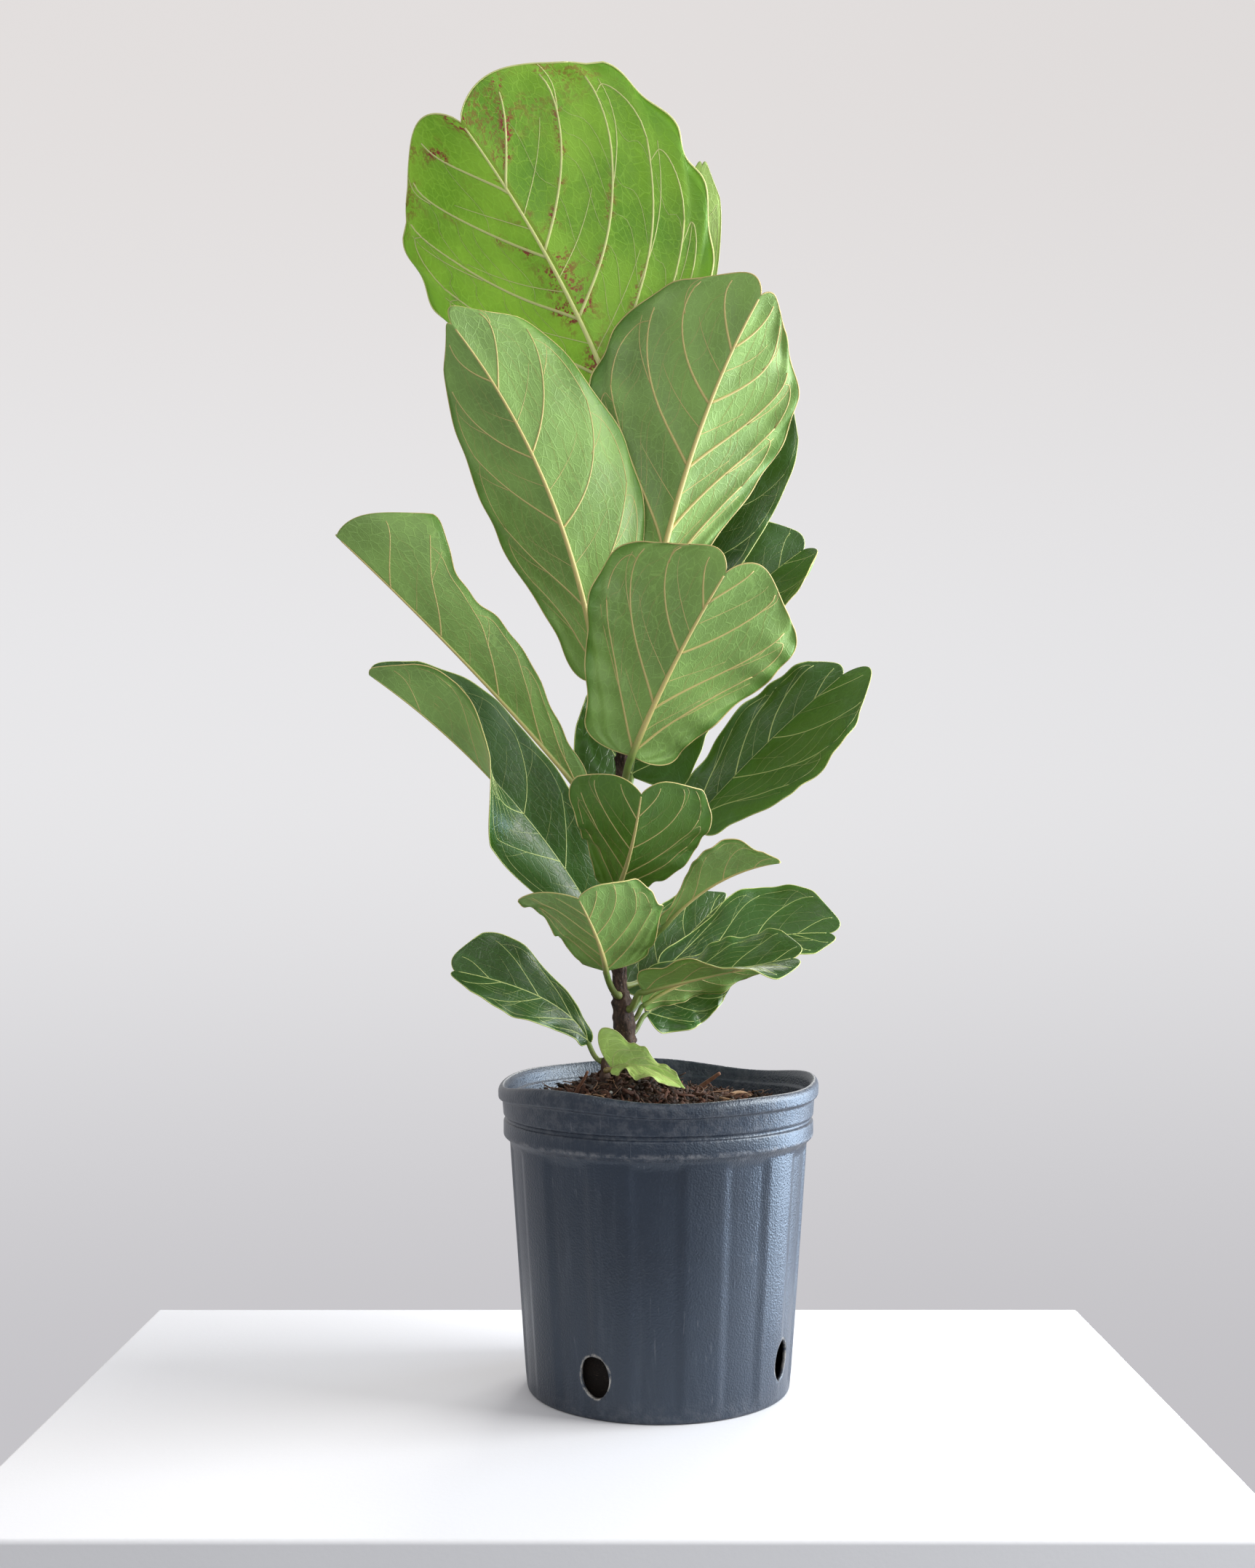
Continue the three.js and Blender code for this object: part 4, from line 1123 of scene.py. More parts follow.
def fluting_tree():
    """Presses the ribs and recesses into the wall and warps the rim."""
    graph, geometry, value = geometry_tree("pressed flutes", {
        "Panels": ("Float", PANEL_COUNT), "Panel Depth": ("Float", PANEL_DEPTH * MM),
        "First Panel": ("Float", 7.5), "Ramp": ("Float", 0.07),
        "Rim Warp": ("Float", RIM_WARP * MM), "Warp Start": ("Float", UPPER_BAND_BOTTOM * MM),
        "Rim Height": ("Float", POT_HEIGHT * MM), "Plastic": ("Material", None),
    })
    x, y, z = graph.parts(graph.node("GeometryNodeInputPosition").outputs[0])
    angle = graph.math("ARCTAN2", y, x)
    radius = graph.math("SQRT", x * x + y * y)
    place = (angle - value["First Panel"] * (math.pi / 180)) * value["Panels"] / (2 * FULL_TURN)
    inside = 0.25 - graph.math("ABSOLUTE", graph.math("FRACT", place + 0.25) - 0.5)
    recess = graph.step(inside, value["Ramp"] * -1, value["Ramp"])
    flute = graph.node("GeometryNodeInputNamedAttribute", {"data_type": "FLOAT_VECTOR"}, Name="flat")
    amount = graph.parts(flute.outputs["Attribute"])[0]
    wander = graph.noise(graph.node("GeometryNodeInputPosition").outputs[0], 14.0, 2.0) - 0.5
    scale = 1 - (value["Panel Depth"] * recess * amount + wander * 0.0009 * amount) / (radius + 0.001)
    warp = graph.math("SINE", angle * 3 + 1.9) + graph.math("SINE", angle * 5 + 0.4) * 0.6
    lift = graph.step(z, value["Warp Start"], value["Rim Height"]) * warp * value["Rim Warp"]
    moved = graph.node("ShaderNodeCombineXYZ", X=x * scale, Y=y * scale, Z=z + lift)
    placed = graph.node("GeometryNodeSetPosition", Geometry=geometry, Position=moved.outputs[0])
    return end_tree(graph, placed.outputs[0], value["Plastic"])


def turned_shape(profile, segments, amount):
    """A lathe shape with poles; amount(radius, height) is kept in its flat coordinates."""
    shape = Shape()
    angle = np.arange(segments) * FULL_TURN / segments
    body = profile[1:-1]
    radii, heights = np.array(body).T
    ring = np.stack([np.cos(angle), np.sin(angle), np.zeros(segments)], axis=-1)
    points = ring[None] * radii[:, None, None]
    points[..., 2] += heights[:, None]
    flat = np.zeros_like(points)
    flat[..., 0] = np.array([amount(r, h) for r, h in body])[:, None]
    faces = grid_faces(len(body), segments, wrap=True)
    last = (len(body) - 1) * segments
    foot, top = len(body) * segments, len(body) * segments + 1
    for i in range(segments):
        j = (i + 1) % segments
        faces.append((foot, j, i))
        faces.append((top, last + i, last + j))
    ends = np.array([[0, 0, profile[0][1]], [0, 0, profile[-1][1]]], float)
    points = np.concatenate([points.reshape(-1, 3), ends])
    flat = np.concatenate([flat.reshape(-1, 3), np.zeros((2, 3))])
    shape.add(points, faces, 0, flat)
    return shape


def drain_cutter(turn):
    """A plug the shape of one drain hole."""
    sides = 40
    length = 26.0
    angle = np.arange(sides) * FULL_TURN / sides
    width = DRAIN_WIDTH / 2 * np.cos(angle) * (1 + 0.05 * np.sin(2 * angle + turn))
    rise = DRAIN_HEIGHT / 2 * np.sin(angle) * (1 + 0.04 * np.cos(3 * angle + turn))
    rings = []
    for depth in (-length / 2, length / 2):
        rings.append(np.stack([np.full(sides, BASE_RADIUS + depth), width, DRAIN_LIFT + rise], axis=-1))
    points = np.concatenate(rings)
    faces = closed_faces(2, sides)
    turned = np.array(Matrix.Rotation(turn, 3, "Z"))
    shape = Shape()
    shape.add(points @ turned.T, faces)
    return shape.build("drain_cutter", ())


def mould_pot(settings):
    """The fluted can with its holes cut."""
    profile = pot_profile()

    def fluted(radius, height):
        outside = radius > inner_radius(height) + WALL / 2
        below_band = 1 - smooth(LOWER_BAND_BOTTOM - 9, LOWER_BAND_BOTTOM - 4.5, height)
        return float(outside) * float(smooth(1.5, 7, height) * below_band)

    dense = []
    for (ra, ha), (rb, hb) in zip(profile, profile[1:]):
        count = max(1, int(abs(hb - ha) // 5)) if ra > 80 and rb > 80 else 1
        dense += [(ra + (rb - ra) * i / count, ha + (hb - ha) * i / count) for i in range(count)]
    dense.append(tuple(profile[-1]))
    material = moulded_plastic()
    pot = turned_shape(dense, 480, fluted).build("moulded_can", (material,))
    grow(pot, fluting_tree(), {
        "Panel Depth": settings.flute_depth, "Rim Warp": settings.rim_warp, "Plastic": material,
    })
    for i in range(DRAIN_COUNT):
        cutter = drain_cutter(math.radians(DRAIN_TURN) + i * FULL_TURN / DRAIN_COUNT)
        cut = pot.modifiers.new("drain hole", "BOOLEAN")
        cut.object = cutter
        cut.operation = "DIFFERENCE"
        cut.solver = "EXACT"
        depsgraph = bpy.context.evaluated_depsgraph_get()
        mesh = bpy.data.meshes.new_from_object(pot.evaluated_get(depsgraph), depsgraph=depsgraph)
        pot.modifiers.remove(cut)
        pot.data = mesh
        bpy.data.objects.remove(cutter)
    pot.data.materials.clear()
    pot.data.materials.append(material)
    return settle(pot, "pot_plastic", "nursery_pot")


# ---------------------------------------------------------------- potting mix
SOIL_EDGE = 195.0
SOIL_MOUND = 24.0
MOUND_RADIUS = 50.0
HOLLOW_TOP = 60.0  # the mix has shrunk away from the wall below this height
HOLLOW_DEPTH = 4.5  # how far it has shrunk there, as a percentage of its radius


def soil_height(x, y):
    """The top of the mix: heaped round the stem, lumpy all over."""
    crest = stem_centre(SOIL_EDGE + SOIL_MOUND)
    away = np.hypot(x - crest[0], y - crest[1]) / MOUND_RADIUS
    bumps = np.sin(x * 0.17 + 1) * np.cos(y * 0.14) + np.sin(x * 0.07 - y * 0.11)
    return SOIL_EDGE + SOIL_MOUND * np.exp(-(away**2)) + 1.2 * bumps


def lumps(x, y, z, size, depth):
    """Fractal roughness at one point."""
    return depth * noise.fractal(Vector((x, y, z)) / size, 0.9, 2.1, 5)


def heap_mix():
    """The body of the mix, to just inside the pot's wall."""
    wall = [(inner_radius(h) - 1.0, h) for h in np.linspace(FLOOR + 1, SOIL_EDGE - 3, 60)]
    top = [((inner_radius(SOIL_EDGE) - 1.2) * share, SOIL_EDGE) for share in np.linspace(1, 0.004, 80)]
    profile = [(0, FLOOR + 0.4), (inner_radius(FLOOR) - 2, FLOOR + 0.4), *wall, *top, (0, SOIL_EDGE)]
    shape = turned_shape(profile, 260, lambda radius, height: 0)
    points = shape.points[0]
    on_top = points[:, 2] >= SOIL_EDGE - 0.01
    heights = soil_height(points[:, 0], points[:, 1])
    for i, (x, y, z) in enumerate(points):
        if on_top[i]:
            points[i, 2] = heights[i] + lumps(x, y, 0, 9, 2.2) + lumps(x, y, 4, 3, 0.8)
        elif z > FLOOR + 0.5:
            hollow = HOLLOW_DEPTH * float(1 - smooth(HOLLOW_TOP - 12, HOLLOW_TOP + 2, z))
            points[i, :2] *= 1 - (1.1 + hollow + lumps(x, y, z, 6, 0.9)) / 100
    return shape.build("heaped_mix", (fibrous_mix(),))


def loose_kind(name, points, faces):
    """A small shape to be scattered."""
    shape = Shape()
    shape.add(points, faces)
    return shape.build(name, ())


def chip_kinds():
    """Three bark chips: flat slivers with broken ends."""
    kinds = []
    for seed, (length, width, height) in enumerate(((7, 2.6, 1.1), (4.5, 3, 1.6), (11, 1.8, 1.0))):
        random = np.random.default_rng(seed)
        angle = np.arange(8) * FULL_TURN / 8
        rim = np.stack([np.cos(angle) * length / 2, np.sin(angle) * width / 2, np.zeros(8)], axis=-1)
        rings = [rim * 0.78 - [0, 0, height / 2], rim, rim * 0.8 + [0, 0, height / 2]]
        points = np.concatenate(rings) + random.normal(0, 0.28, (24, 3))
        kinds.append(loose_kind(f"chip_kind_{seed}", points, closed_faces(3, 8)))
    return kinds


def fibre_kinds():
    """Three curled root fibres."""
    kinds = []
    for seed, (length, bend) in enumerate(((16, 5), (24, 9), (11, 6))):
        random = np.random.default_rng(seed + 20)
        corners = []
        for place in np.linspace(-0.5, 0.5, 4) * length:
            corners.append((place, random.uniform(-bend, bend), random.uniform(-1, 2.5)))
        path = bezier(corners, np.linspace(0, 1, 9))
        points, faces, _ = tube(path, np.linspace(0.42, 0.2, 9), 4)
        kinds.append(loose_kind(f"fibre_kind_{seed}", points, faces))
    return kinds


def crumb_kinds():
    """Two round crumbs."""
    kinds = []
    for seed in range(2):
        random = np.random.default_rng(seed + 40)
        angle = np.arange(6) * FULL_TURN / 6
        rings = []
        for height, size in ((-0.9, 0.5), (-0.35, 1), (0.35, 1), (0.9, 0.5)):
            ring = np.stack([np.cos(angle) * size, np.sin(angle) * size, np.full(6, height)], axis=-1)
            rings.append(ring)
        points = np.concatenate(rings) * 1.1 + random.normal(0, 0.16, (24, 3))
        kinds.append(loose_kind(f"crumb_kind_{seed}", points, closed_faces(4, 6)))
    return kinds


def scatter_tree(name, kinds):
    """Scatters small shapes over the top of the mix, within a reach of its middle."""
    graph, geometry, value = geometry_tree(name, {
        "Density": ("Float", 1000.0), "Seed": ("Int", 1), "Smallest": ("Float", 0.6),
        "Largest": ("Float", 1.4), "Tilt": ("Float", 0.5), "Lift": ("Float", 0.001),
        "Lowest": ("Float", 0.19), "Reach": ("Float", 0.094), "Material": ("Material", None),
    })
    x, y, height = graph.parts(graph.node("GeometryNodeInputPosition").outputs[0])
    inside = graph.math("LESS_THAN", graph.math("SQRT", x**2 + y**2), value["Reach"])
    on_top = graph.math("GREATER_THAN", height, value["Lowest"]) * inside
    points = graph.node(
        "GeometryNodeDistributePointsOnFaces", Mesh=geometry, Selection=on_top,
        Density=value["Density"], Seed=value["Seed"],
    )
    joined = graph.node("GeometryNodeJoinGeometry")
    for kind in kinds:
        info = graph.node("GeometryNodeObjectInfo", Object=kind, As_Instance=True)
        graph.tree.links.new(info.outputs["Geometry"], joined.inputs[0])
    spin = graph.node(
        "FunctionNodeRandomValue", {"data_type": "FLOAT_VECTOR"},
        Min=(-1, -1, 0), Max=(1, 1, 1), Seed=value["Seed"],
    )
    sideways, forwards, around = graph.parts(spin.outputs["Value"])
    turn = graph.node(
        "ShaderNodeCombineXYZ",
        X=sideways * value["Tilt"], Y=forwards * value["Tilt"], Z=around * FULL_TURN,
    )
    size = graph.node(
        "FunctionNodeRandomValue", {"data_type": "FLOAT"},
        Min_001=value["Smallest"], Max_001=value["Largest"], Seed=value["Seed"] + 7,
    )
    placed = graph.node(
        "GeometryNodeInstanceOnPoints", Points=points.outputs["Points"], Instance=joined.outputs[0],
        Pick_Instance=True, Rotation=turn.outputs[0], Scale=graph.find(size.outputs, "Value_001"),
    )
    shade = graph.node(
        "FunctionNodeRandomValue", {"data_type": "FLOAT_VECTOR"},
        Min=(0, 0, 0), Max=(1, 1, 1), Seed=value["Seed"] + 3,
    )
    kept = graph.node(
        "GeometryNodeStoreNamedAttribute", {"data_type": "FLOAT_VECTOR", "domain": "INSTANCE"},
        Geometry=placed.outputs[0], Name="shade", Value=shade.outputs["Value"],
    )
    lifted = graph.node("ShaderNodeCombineXYZ", Z=value["Lift"])
    moved = graph.node(
        "GeometryNodeTranslateInstances", Instances=kept.outputs[0], Translation=lifted.outputs[0]
    )
    return end_tree(graph, moved.outputs[0], value["Material"])


def scatter(ground, name, kinds, material, **values):
    """Grows loose pieces on a copy of the ground."""
    piece = ground.copy()
    piece.data = ground.data.copy()
    piece.name = name
    bpy.context.scene.collection.objects.link(piece)
    grow(piece, scatter_tree(name, kinds), {"Material": material, **values})
    for kind in kinds:
        bpy.data.objects.remove(kind)
    return settle(piece, "potting_mix")


ROOTS = (  # thickness at both ends, then points lying on the mix: X, Y and height above it
    (1.6, 1.0, ((50, 18, 1), (58, 22, 7), (66, 30, 5), (70, 33, 1))),
    (0.9, 0.5, ((44, 2, 2), (66, -6, 3), (88, -12, 4), (98, -14, 6))),
    (0.8, 0.4, ((-62, -50, 2), (-60, -42, 6), (-50, -38, 8), (-38, -46, 3))),
    (1.1, 0.5, ((-34, -66, 1), (-28, -60, 4), (-20, -58, 3), (-12, -62, 0))),
    (0.7, 0.4, ((74, -30, 1), (84, -26, 5), (92, -34, 6), (86, -44, 2))),
    (0.8, 0.4, ((60, -52, 1), (68, -44, 5), (80, -40, 4), (92, -30, 3))),
    (0.6, 0.3, ((10, -70, 1), (24, -74, 4), (38, -70, 5), (48, -76, 1))),
)
TWIGS = (
    (2.0, 1.3, ((24, 40, 0), (30, 38, 6), (38, 36, 12), (46, 34, 19))),
    (1.5, 0.9, ((-60, -26, 2), (-56, -30, 8), (-52, -34, 14), (-50, -36, 20))),
    (1.4, 0.9, ((70, 6, 1), (78, 2, 5), (88, 0, 7), (98, 2, 6))),
)


def lay_strands(name, table, material):
    """Listed roots or twigs that lie on the mix."""
    shape = Shape()
    for thick, thin, corners in table:
        points = [np.array([x, y, soil_height(x, y) + up], float) for x, y, up in corners]
        path = bezier(points, np.linspace(0, 1, 26))
        wobble = np.array([[lumps(*p, 7, 0.5), lumps(*p[::-1], 7, 0.5), 0] for p in path])
        ring, faces, _ = tube(path + wobble, np.linspace(thick, thin, 26), 8)
        shape.add(ring, faces)
    piece = shape.build(name, (material,))
    layer = piece.data.attributes.new("shade", "FLOAT_VECTOR", "POINT")
    layer.data.foreach_set("vector", np.full(shape.count * 3, 0.6))
    return settle(piece, "potting_mix")


def fill_pot(settings):
    """The mix with its chips, crumbs, fibres, roots and twigs."""
    mix = heap_mix()
    bark = woody("bark chips", (0.01, 0.006, 0.004), (0.11, 0.045, 0.026))
    pale = woody("root fibres", (0.04, 0.018, 0.01), (0.24, 0.13, 0.07), 0.7)
    crumb = woody("peat crumbs", (0.008, 0.005, 0.004), (0.05, 0.028, 0.018))
    white = woody("perlite", (0.5, 0.49, 0.46), (0.75, 0.74, 0.7), 0.9)
    amount = settings.chip_density
    scatter(mix, "bark_chips", chip_kinds(), bark, Density=amount, Seed=3, Tilt=0.9, Lift=0.0008,
            Smallest=0.7, Largest=1.9)
    scatter(mix, "peat_crumbs", crumb_kinds(), crumb, Density=amount * 1.4, Seed=5, Tilt=2.0,
            Smallest=0.6, Largest=1.9)
    scatter(mix, "root_fibres", fibre_kinds(), pale, Density=amount * 0.16, Seed=11, Tilt=0.35,
            Lift=0.0018)
    scatter(mix, "perlite", crumb_kinds(), white, Density=amount * 0.022, Seed=17, Tilt=2.0,
            Smallest=0.8, Largest=1.5)
    root = woody("thick roots", (0.2, 0.11, 0.06), (0.45, 0.29, 0.17), 0.7)
    lay_strands("thick_roots", ROOTS, root)
    lay_strands("twigs", TWIGS, woody("twig bark", (0.05, 0.022, 0.012), (0.26, 0.12, 0.07)))
    return settle(mix, "potting_mix", "potting_mix")


# ---------------------------------------------------------------- stem and shoot
STEM_BOTTOM = SOIL_EDGE + SOIL_MOUND - 60
STEM_TOP = 566.0
STEM_FOOT_RADIUS = 7.0
STEM_NECK = (262, 288)  # heights between which the stem narrows above its foot
NECK_NARROWING = 2.0
STEM_TAPER = 1.6  # narrowing from the neck to the top
OLD_SCARS = (226, 236, 316, 352, 446)  # heights of leaves that have dropped
BUD_LENGTH = 16.0
BUD_RADIUS = 3.3
SHOOT_RADIUS = 3.1
SHOOT_TOP = 233.0
SHOOT_ROUNDING = 8.2  # length of its rounded end


def stem_radius(height):
    """Half the stem's thickness."""
    height = np.asarray(height, float)
    neck = STEM_NECK[1]
    foot = STEM_FOOT_RADIUS - NECK_NARROWING * smooth(*STEM_NECK, height)
    taper = STEM_TAPER * (height - neck) / (STEM_TOP - neck)
    return np.where(height < neck, foot, foot - taper)


def bark_tube(name, path, radii, scars, material, roughness):
    """A round stem with cracked bark and a ring where each leaf was or is held."""
    sides = 44
    heights = path[:, 2]
    swollen = radii.copy()
    for scar in scars:
        swollen = swollen + 0.9 * np.exp(-(((heights - scar) / 2.2) ** 2))
        swollen = swollen - 0.35 * np.exp(-(((heights - scar - 4) / 2.0) ** 2))
    ring, faces, _ = tube(path, swollen, sides, up=np.array([[0.0, 1.0, 0.0]]))
    centre = np.repeat(path, sides, axis=0)
    away = unit(ring - centre)
    depth = []
    for x, y, z in ring:
        ridge = noise.fractal(Vector((x / 3.2, y / 3.2, z / 8)), 0.7, 2.2, 6)
        plate = noise.noise(Vector((x / 7, y / 7, z / 12)))
        depth.append(roughness * (ridge + 0.6 * plate))
    shape = Shape()
    shape.add(ring + away * np.array(depth)[:, None], faces)
    return shape.build(name, (material,))


def grow_stem(settings):
    """The main stem, its bud, and the side shoot."""
    bark = fissured_bark()
    heights = np.linspace(STEM_BOTTOM + 2, STEM_TOP, 420)
    scars = [plan["joins"] - 5 for plan in LEAVES if not plan["on_shoot"]] + list(OLD_SCARS)
    stem = bark_tube("barky_stem", stem_centre(heights), stem_radius(heights), scars, bark,
                     settings.bark_depth / MM)
    settle(stem, "stem_bark", "main_stem")
    sheath = woody("bud sheath", (0.12, 0.05, 0.02), (0.3, 0.17, 0.06), 0.5)
    shape = Shape()
    for turn, lean in ((0.0, 0.0), (2.2, 2.0)):
        rise = np.linspace(0, 1, 20)
        path = stem_centre(np.full(20, STEM_TOP)) + np.stack(
            [lean * rise * math.cos(turn), lean * rise * math.sin(turn), rise * BUD_LENGTH - 2], axis=-1)
        ring, faces, _ = tube(path, BUD_RADIUS * np.sqrt(np.clip(1 - rise**1.7, 0.003, 1)), 14)
        shape.add(ring, faces)
    settle(shape.build("bud_sheath", (sheath,)), "stem_bark")
    heights = np.linspace(SOIL_EDGE - 10, SHOOT_TOP, 90)
    path = np.stack([np.full(90, SHOOT_PLACE[0]), np.full(90, SHOOT_PLACE[1]), heights], axis=-1)
    end = ((heights - SHOOT_TOP + 8) / SHOOT_ROUNDING).clip(0, 1)
    thickness = SHOOT_RADIUS * np.sqrt(np.clip(1 - end**2.4, 0.003, 1))
    shoot = bark_tube("barky_shoot", path, thickness, (219,), bark, 0.35)
    settle(shoot, "stem_bark", "side_shoot")


# ---------------------------------------------------------------- stage
CAMERA_PLACE = (-21.98, -1270.21, 378.42)
CAMERA_PITCH = 2.22  # degrees that it looks up
FOCAL_LENGTH = 40.4
FILM_WIDTH = 36.0
TABLE_LOW = (-411, -286, -320)
TABLE_HIGH = (350, 204, 0)
ROOM_LOW, ROOM_MIDDLE, ROOM_HIGH = (0.56, 0.55, 0.575), (0.805, 0.8, 0.815), (0.765, 0.735, 0.728)
LAMPS = (  # name, place, aim and size in metres, share of the window's power, colour
    ("window", (1.7, -0.2, 1.0), (0, 0, 0.45), 1.2, 1.0, (1.0, 0.99, 0.97)),
    ("window_low", (1.3, 0.4, 0.2), (0, 0, 0.25), 0.9, 0.42, (0.66, 0.81, 1.0)),
    ("window_front", (1.25, -1.35, 0.55), (0, 0, 0.5), 1.1, 0.13, (0.9, 0.96, 1.0)),
    ("room_front", (-0.7, -2.3, 1.6), (0, 0, 0.4), 1.4, 0.24, (1.0, 0.99, 0.98)),
    ("window_back", (0.5, 1.7, 1.5), (-0.05, 0, 0.7), 1.0, 0.35, (1.0, 0.98, 0.93)),
)


def table_top(material):
    """A white table with softened edges."""
    low, high = np.array(TABLE_LOW, float), np.array(TABLE_HIGH, float)
    corners = [[x, y, z] for z in (low[2], high[2]) for x, y in
               ((low[0], low[1]), (high[0], low[1]), (high[0], high[1]), (low[0], high[1]))]
    faces = [(3, 2, 1, 0), (4, 5, 6, 7), (0, 1, 5, 4), (1, 2, 6, 5), (2, 3, 7, 6), (3, 0, 4, 7)]
    shape = Shape()
    shape.add(corners, faces)
    table = shape.build("table", (material,))
    bevel = table.modifiers.new("soft edge", "BEVEL")
    bevel.width = 3 * MM
    bevel.segments = 4
    table.modifiers.new("flat faces", "WEIGHTED_NORMAL")


def lamp(name, place, aim, size, power, colour):
    """A soft square light aimed at a point, in metres."""
    light = bpy.data.lights.new(name, "AREA")
    light.shape = "SQUARE"
    light.size = size
    light.energy = power
    light.color = colour
    piece = bpy.data.objects.new(name, light)
    piece.location = place
    piece.rotation_euler = (Vector(aim) - Vector(place)).to_track_quat("-Z", "Y").to_euler()
    bpy.context.scene.collection.objects.link(piece)


def pale_room(world):
    """A pale room: lightest behind the plant, dimmer on the viewer's side and below."""
    world.use_nodes = True
    graph = Graph(world.node_tree)
    graph.tree.nodes.clear()
    looks = graph.node("ShaderNodeTexCoord").outputs["Generated"]
    x, y, z = graph.parts(looks)
    colour = graph.mix(graph.step(z, -0.31, 0.06), ROOM_LOW, ROOM_MIDDLE)
    colour = graph.mix(graph.step(z, 0.08, 0.42), colour, ROOM_HIGH)
    strength = graph.step(y, -0.7, 0.6, 0.55, 1.0) * graph.step(x, -0.1, 0.5, 1.0, 0.96)
    shade = graph.node("ShaderNodeBackground", Color=colour, Strength=strength)
    graph.feed(graph.node("ShaderNodeOutputWorld").inputs["Surface"], shade.outputs[0])


def set_stage(settings):
    """Table, room, lights and camera."""
    scene = bpy.context.scene
    table_top(plain("white paint", (0.7, 0.71, 0.74), 0.65))
    scene.world = bpy.data.worlds.new("pale room")
    pale_room(scene.world)
    for name, place, aim, size, share, colour in LAMPS:
        lamp(name, place, aim, size, settings.window_power * share, colour)
    camera = bpy.data.cameras.new("camera")
    camera.lens = FOCAL_LENGTH
    camera.sensor_width = FILM_WIDTH
    camera.dof.use_dof = False
    piece = bpy.data.objects.new("camera", camera)
    piece.location = Vector(CAMERA_PLACE) * MM
    piece.rotation_euler = (math.radians(90 + CAMERA_PITCH), 0, 0)
    scene.collection.objects.link(piece)
    scene.camera = piece
    scene.view_settings.view_transform = "Standard"


# ---------------------------------------------------------------- add-on
class FigPotSettings(bpy.types.PropertyGroup):
    """Sizes of the can."""

    flute_depth: bpy.props.FloatProperty(
        name="Flute depth", description="How deep the wall's recesses are pressed",
        default=PANEL_DEPTH * MM, min=0, max=0.004, unit="LENGTH",
    )
    rim_warp: bpy.props.FloatProperty(
        name="Rim warp", description="How far the rim rises and dips",
        default=RIM_WARP * MM, min=0, max=0.004, unit="LENGTH",
    )


class FigMixSettings(bpy.types.PropertyGroup):
    """The potting mix."""

    chip_density: bpy.props.FloatProperty(
        name="Chip density", description="Loose bark chips on each square metre",
        default=42000, min=0, max=90000,
    )


class FigStemSettings(bpy.types.PropertyGroup):
    """The bark."""

    bark_depth: bpy.props.FloatProperty(
        name="Bark depth", description="How rough the bark is",
        default=0.0011, min=0, max=0.003, unit="LENGTH",
    )


class FigLeafSettings(bpy.types.PropertyGroup):
    """Colours of the leaves."""

    underside: bpy.props.FloatVectorProperty(
        name="Underside", description="Colour of a mature leaf's lower side",
        default=(0.27, 0.46, 0.115), size=3, min=0, max=1, subtype="COLOR",
    )
    upper_side: bpy.props.FloatVectorProperty(
        name="Upper side", description="Colour of a mature leaf's upper side",
        default=(0.024, 0.08, 0.012), size=3, min=0, max=1, subtype="COLOR",
    )
    vein: bpy.props.FloatVectorProperty(
        name="Vein", description="Colour of the veins below",
        default=(0.62, 0.52, 0.2), size=3, min=0, max=1, subtype="COLOR",
    )


class FigStageSettings(bpy.types.PropertyGroup):
    """The light."""

    window_power: bpy.props.FloatProperty(
        name="Window power", description="Power of the large soft light on the right",
        default=64, min=0, max=400, unit="POWER",
    )


class FIG_OT_pot(bpy.types.Operator):
    """Mould the fluted nursery can"""

    bl_idname = "fig.pot"
    bl_label = "Nursery can"

    def execute(self, context):
        mould_pot(context.scene.fig_pot)
        return {"FINISHED"}


class FIG_OT_mix(bpy.types.Operator):
    """Heap the potting mix with its chips, fibres, roots and twigs"""

    bl_idname = "fig.mix"
    bl_label = "Potting mix"

    def execute(self, context):
        fill_pot(context.scene.fig_mix)
        return {"FINISHED"}


class FIG_OT_stem(bpy.types.Operator):
    """Grow the main stem, its bud and the side shoot"""

    bl_idname = "fig.stem"
    bl_label = "Stem and shoot"

    def execute(self, context):
        grow_stem(context.scene.fig_stem)
        return {"FINISHED"}


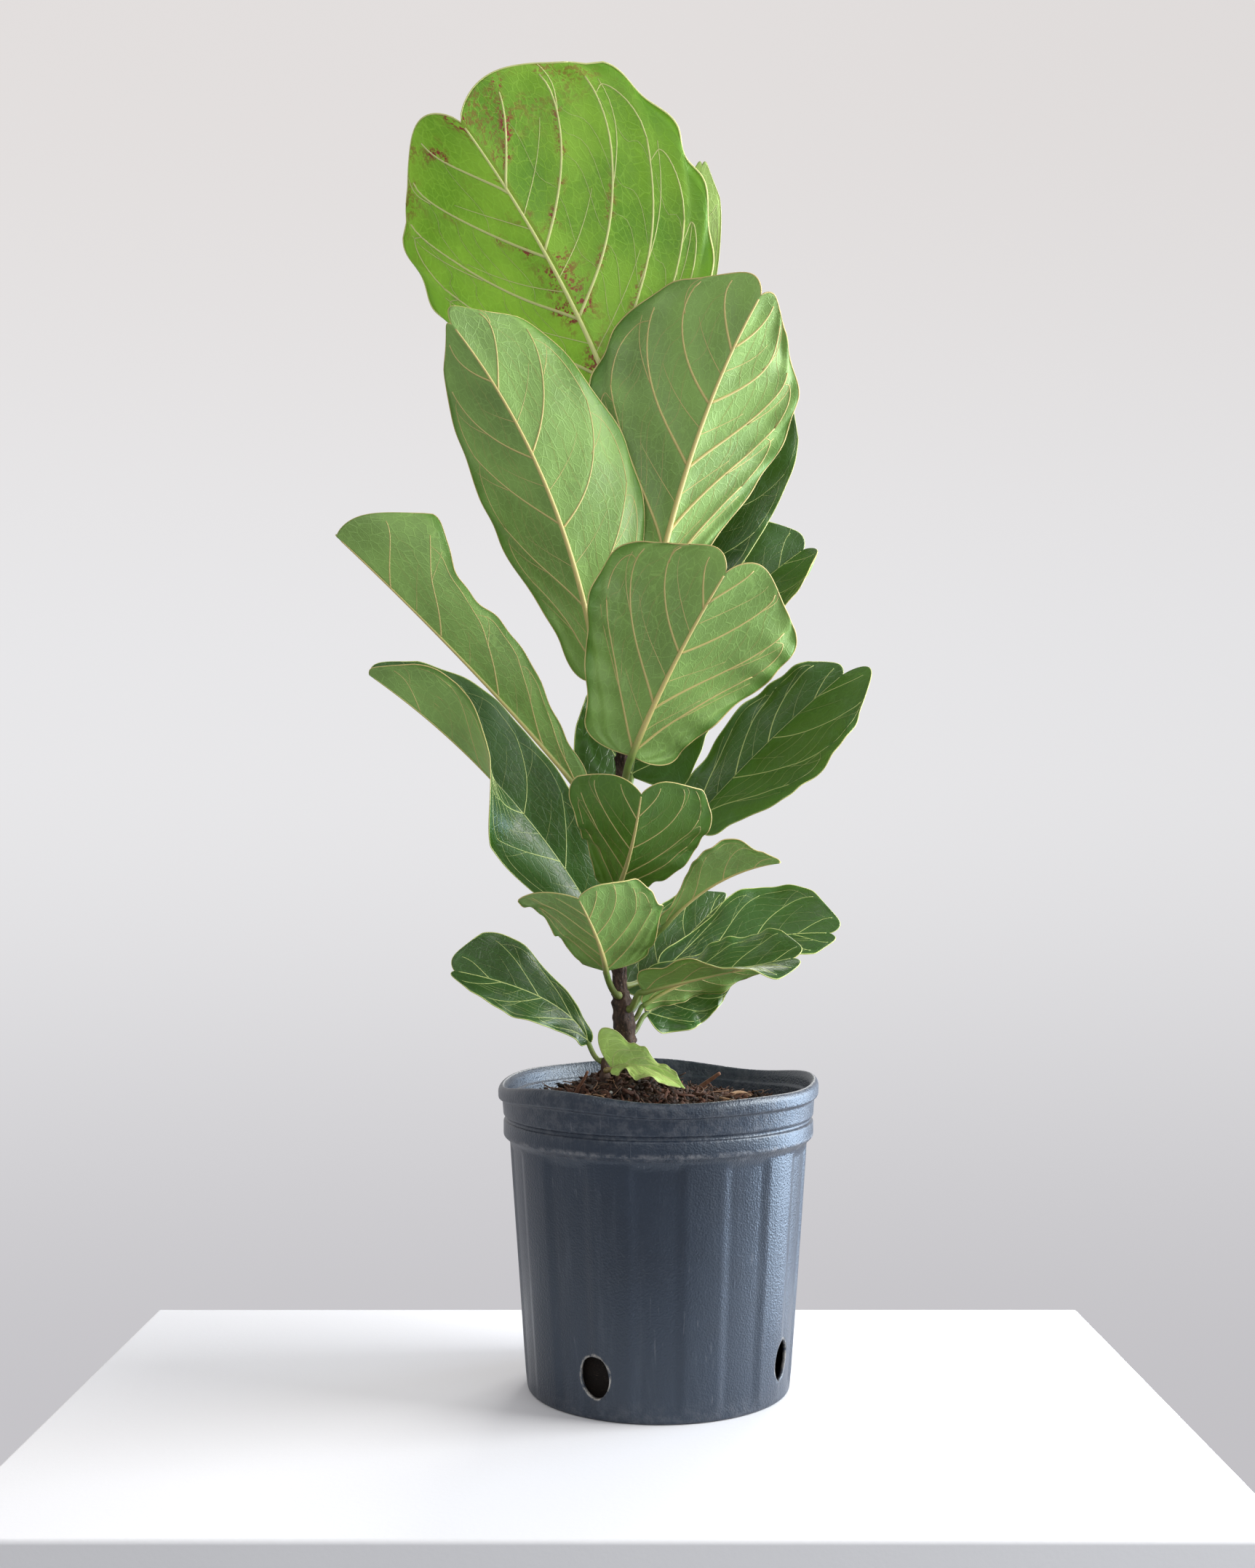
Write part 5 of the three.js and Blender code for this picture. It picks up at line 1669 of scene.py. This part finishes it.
class FIG_OT_leaves(bpy.types.Operator):
    """Grow every leaf with its petiole and veins"""

    bl_idname = "fig.leaves"
    bl_label = "Leaves"

    def execute(self, context):
        finishes = leaf_finishes(context.scene.fig_leaf)
        for plan in LEAVES:
            kind = KINDS.get(plan["name"], "mature")
            slot = "young_leaf" if plan["name"] in ("leaf_young", "leaf_sprout") else "leaf_green"
            settle(grow_leaf(plan, finishes[kind]), slot, plan["name"])
        return {"FINISHED"}


class FIG_OT_stage(bpy.types.Operator):
    """Set the table, room, lights and camera"""

    bl_idname = "fig.stage"
    bl_label = "Stage"

    def execute(self, context):
        set_stage(context.scene.fig_stage)
        return {"FINISHED"}


class FIG_PT_panel(bpy.types.Panel):
    """Lists the plant's pieces and their settings"""

    bl_label = "Potted fig"
    bl_idname = "FIG_PT_panel"
    bl_space_type = "VIEW_3D"
    bl_region_type = "UI"
    bl_category = "Fig"

    def draw(self, context):
        for operator, settings in STEPS:
            box = self.layout.box()
            box.operator(operator.bl_idname)
            group = getattr(context.scene, settings)
            for name in group.bl_rna.properties.keys():
                if name not in ("rna_type", "name"):
                    box.prop(group, name)


SETTINGS = {
    "fig_pot": FigPotSettings, "fig_mix": FigMixSettings, "fig_stem": FigStemSettings,
    "fig_leaf": FigLeafSettings, "fig_stage": FigStageSettings,
}
STEPS = (
    (FIG_OT_pot, "fig_pot"), (FIG_OT_mix, "fig_mix"), (FIG_OT_stem, "fig_stem"),
    (FIG_OT_leaves, "fig_leaf"), (FIG_OT_stage, "fig_stage"),
)
CLASSES = (*SETTINGS.values(), *(operator for operator, _ in STEPS), FIG_PT_panel)


def register():
    """Registers the classes and their settings."""
    for item in CLASSES:
        bpy.utils.register_class(item)
    for name, group in SETTINGS.items():
        setattr(bpy.types.Scene, name, bpy.props.PointerProperty(type=group))


def unregister():
    """Removes them again."""
    for name in SETTINGS:
        delattr(bpy.types.Scene, name)
    for item in reversed(CLASSES):
        bpy.utils.unregister_class(item)


def main():
    """Grows the plant."""
    register()
    for operator, _ in STEPS:
        group, name = operator.bl_idname.split(".")
        getattr(getattr(bpy.ops, group), name)()


if __name__ == "__main__":
    main()
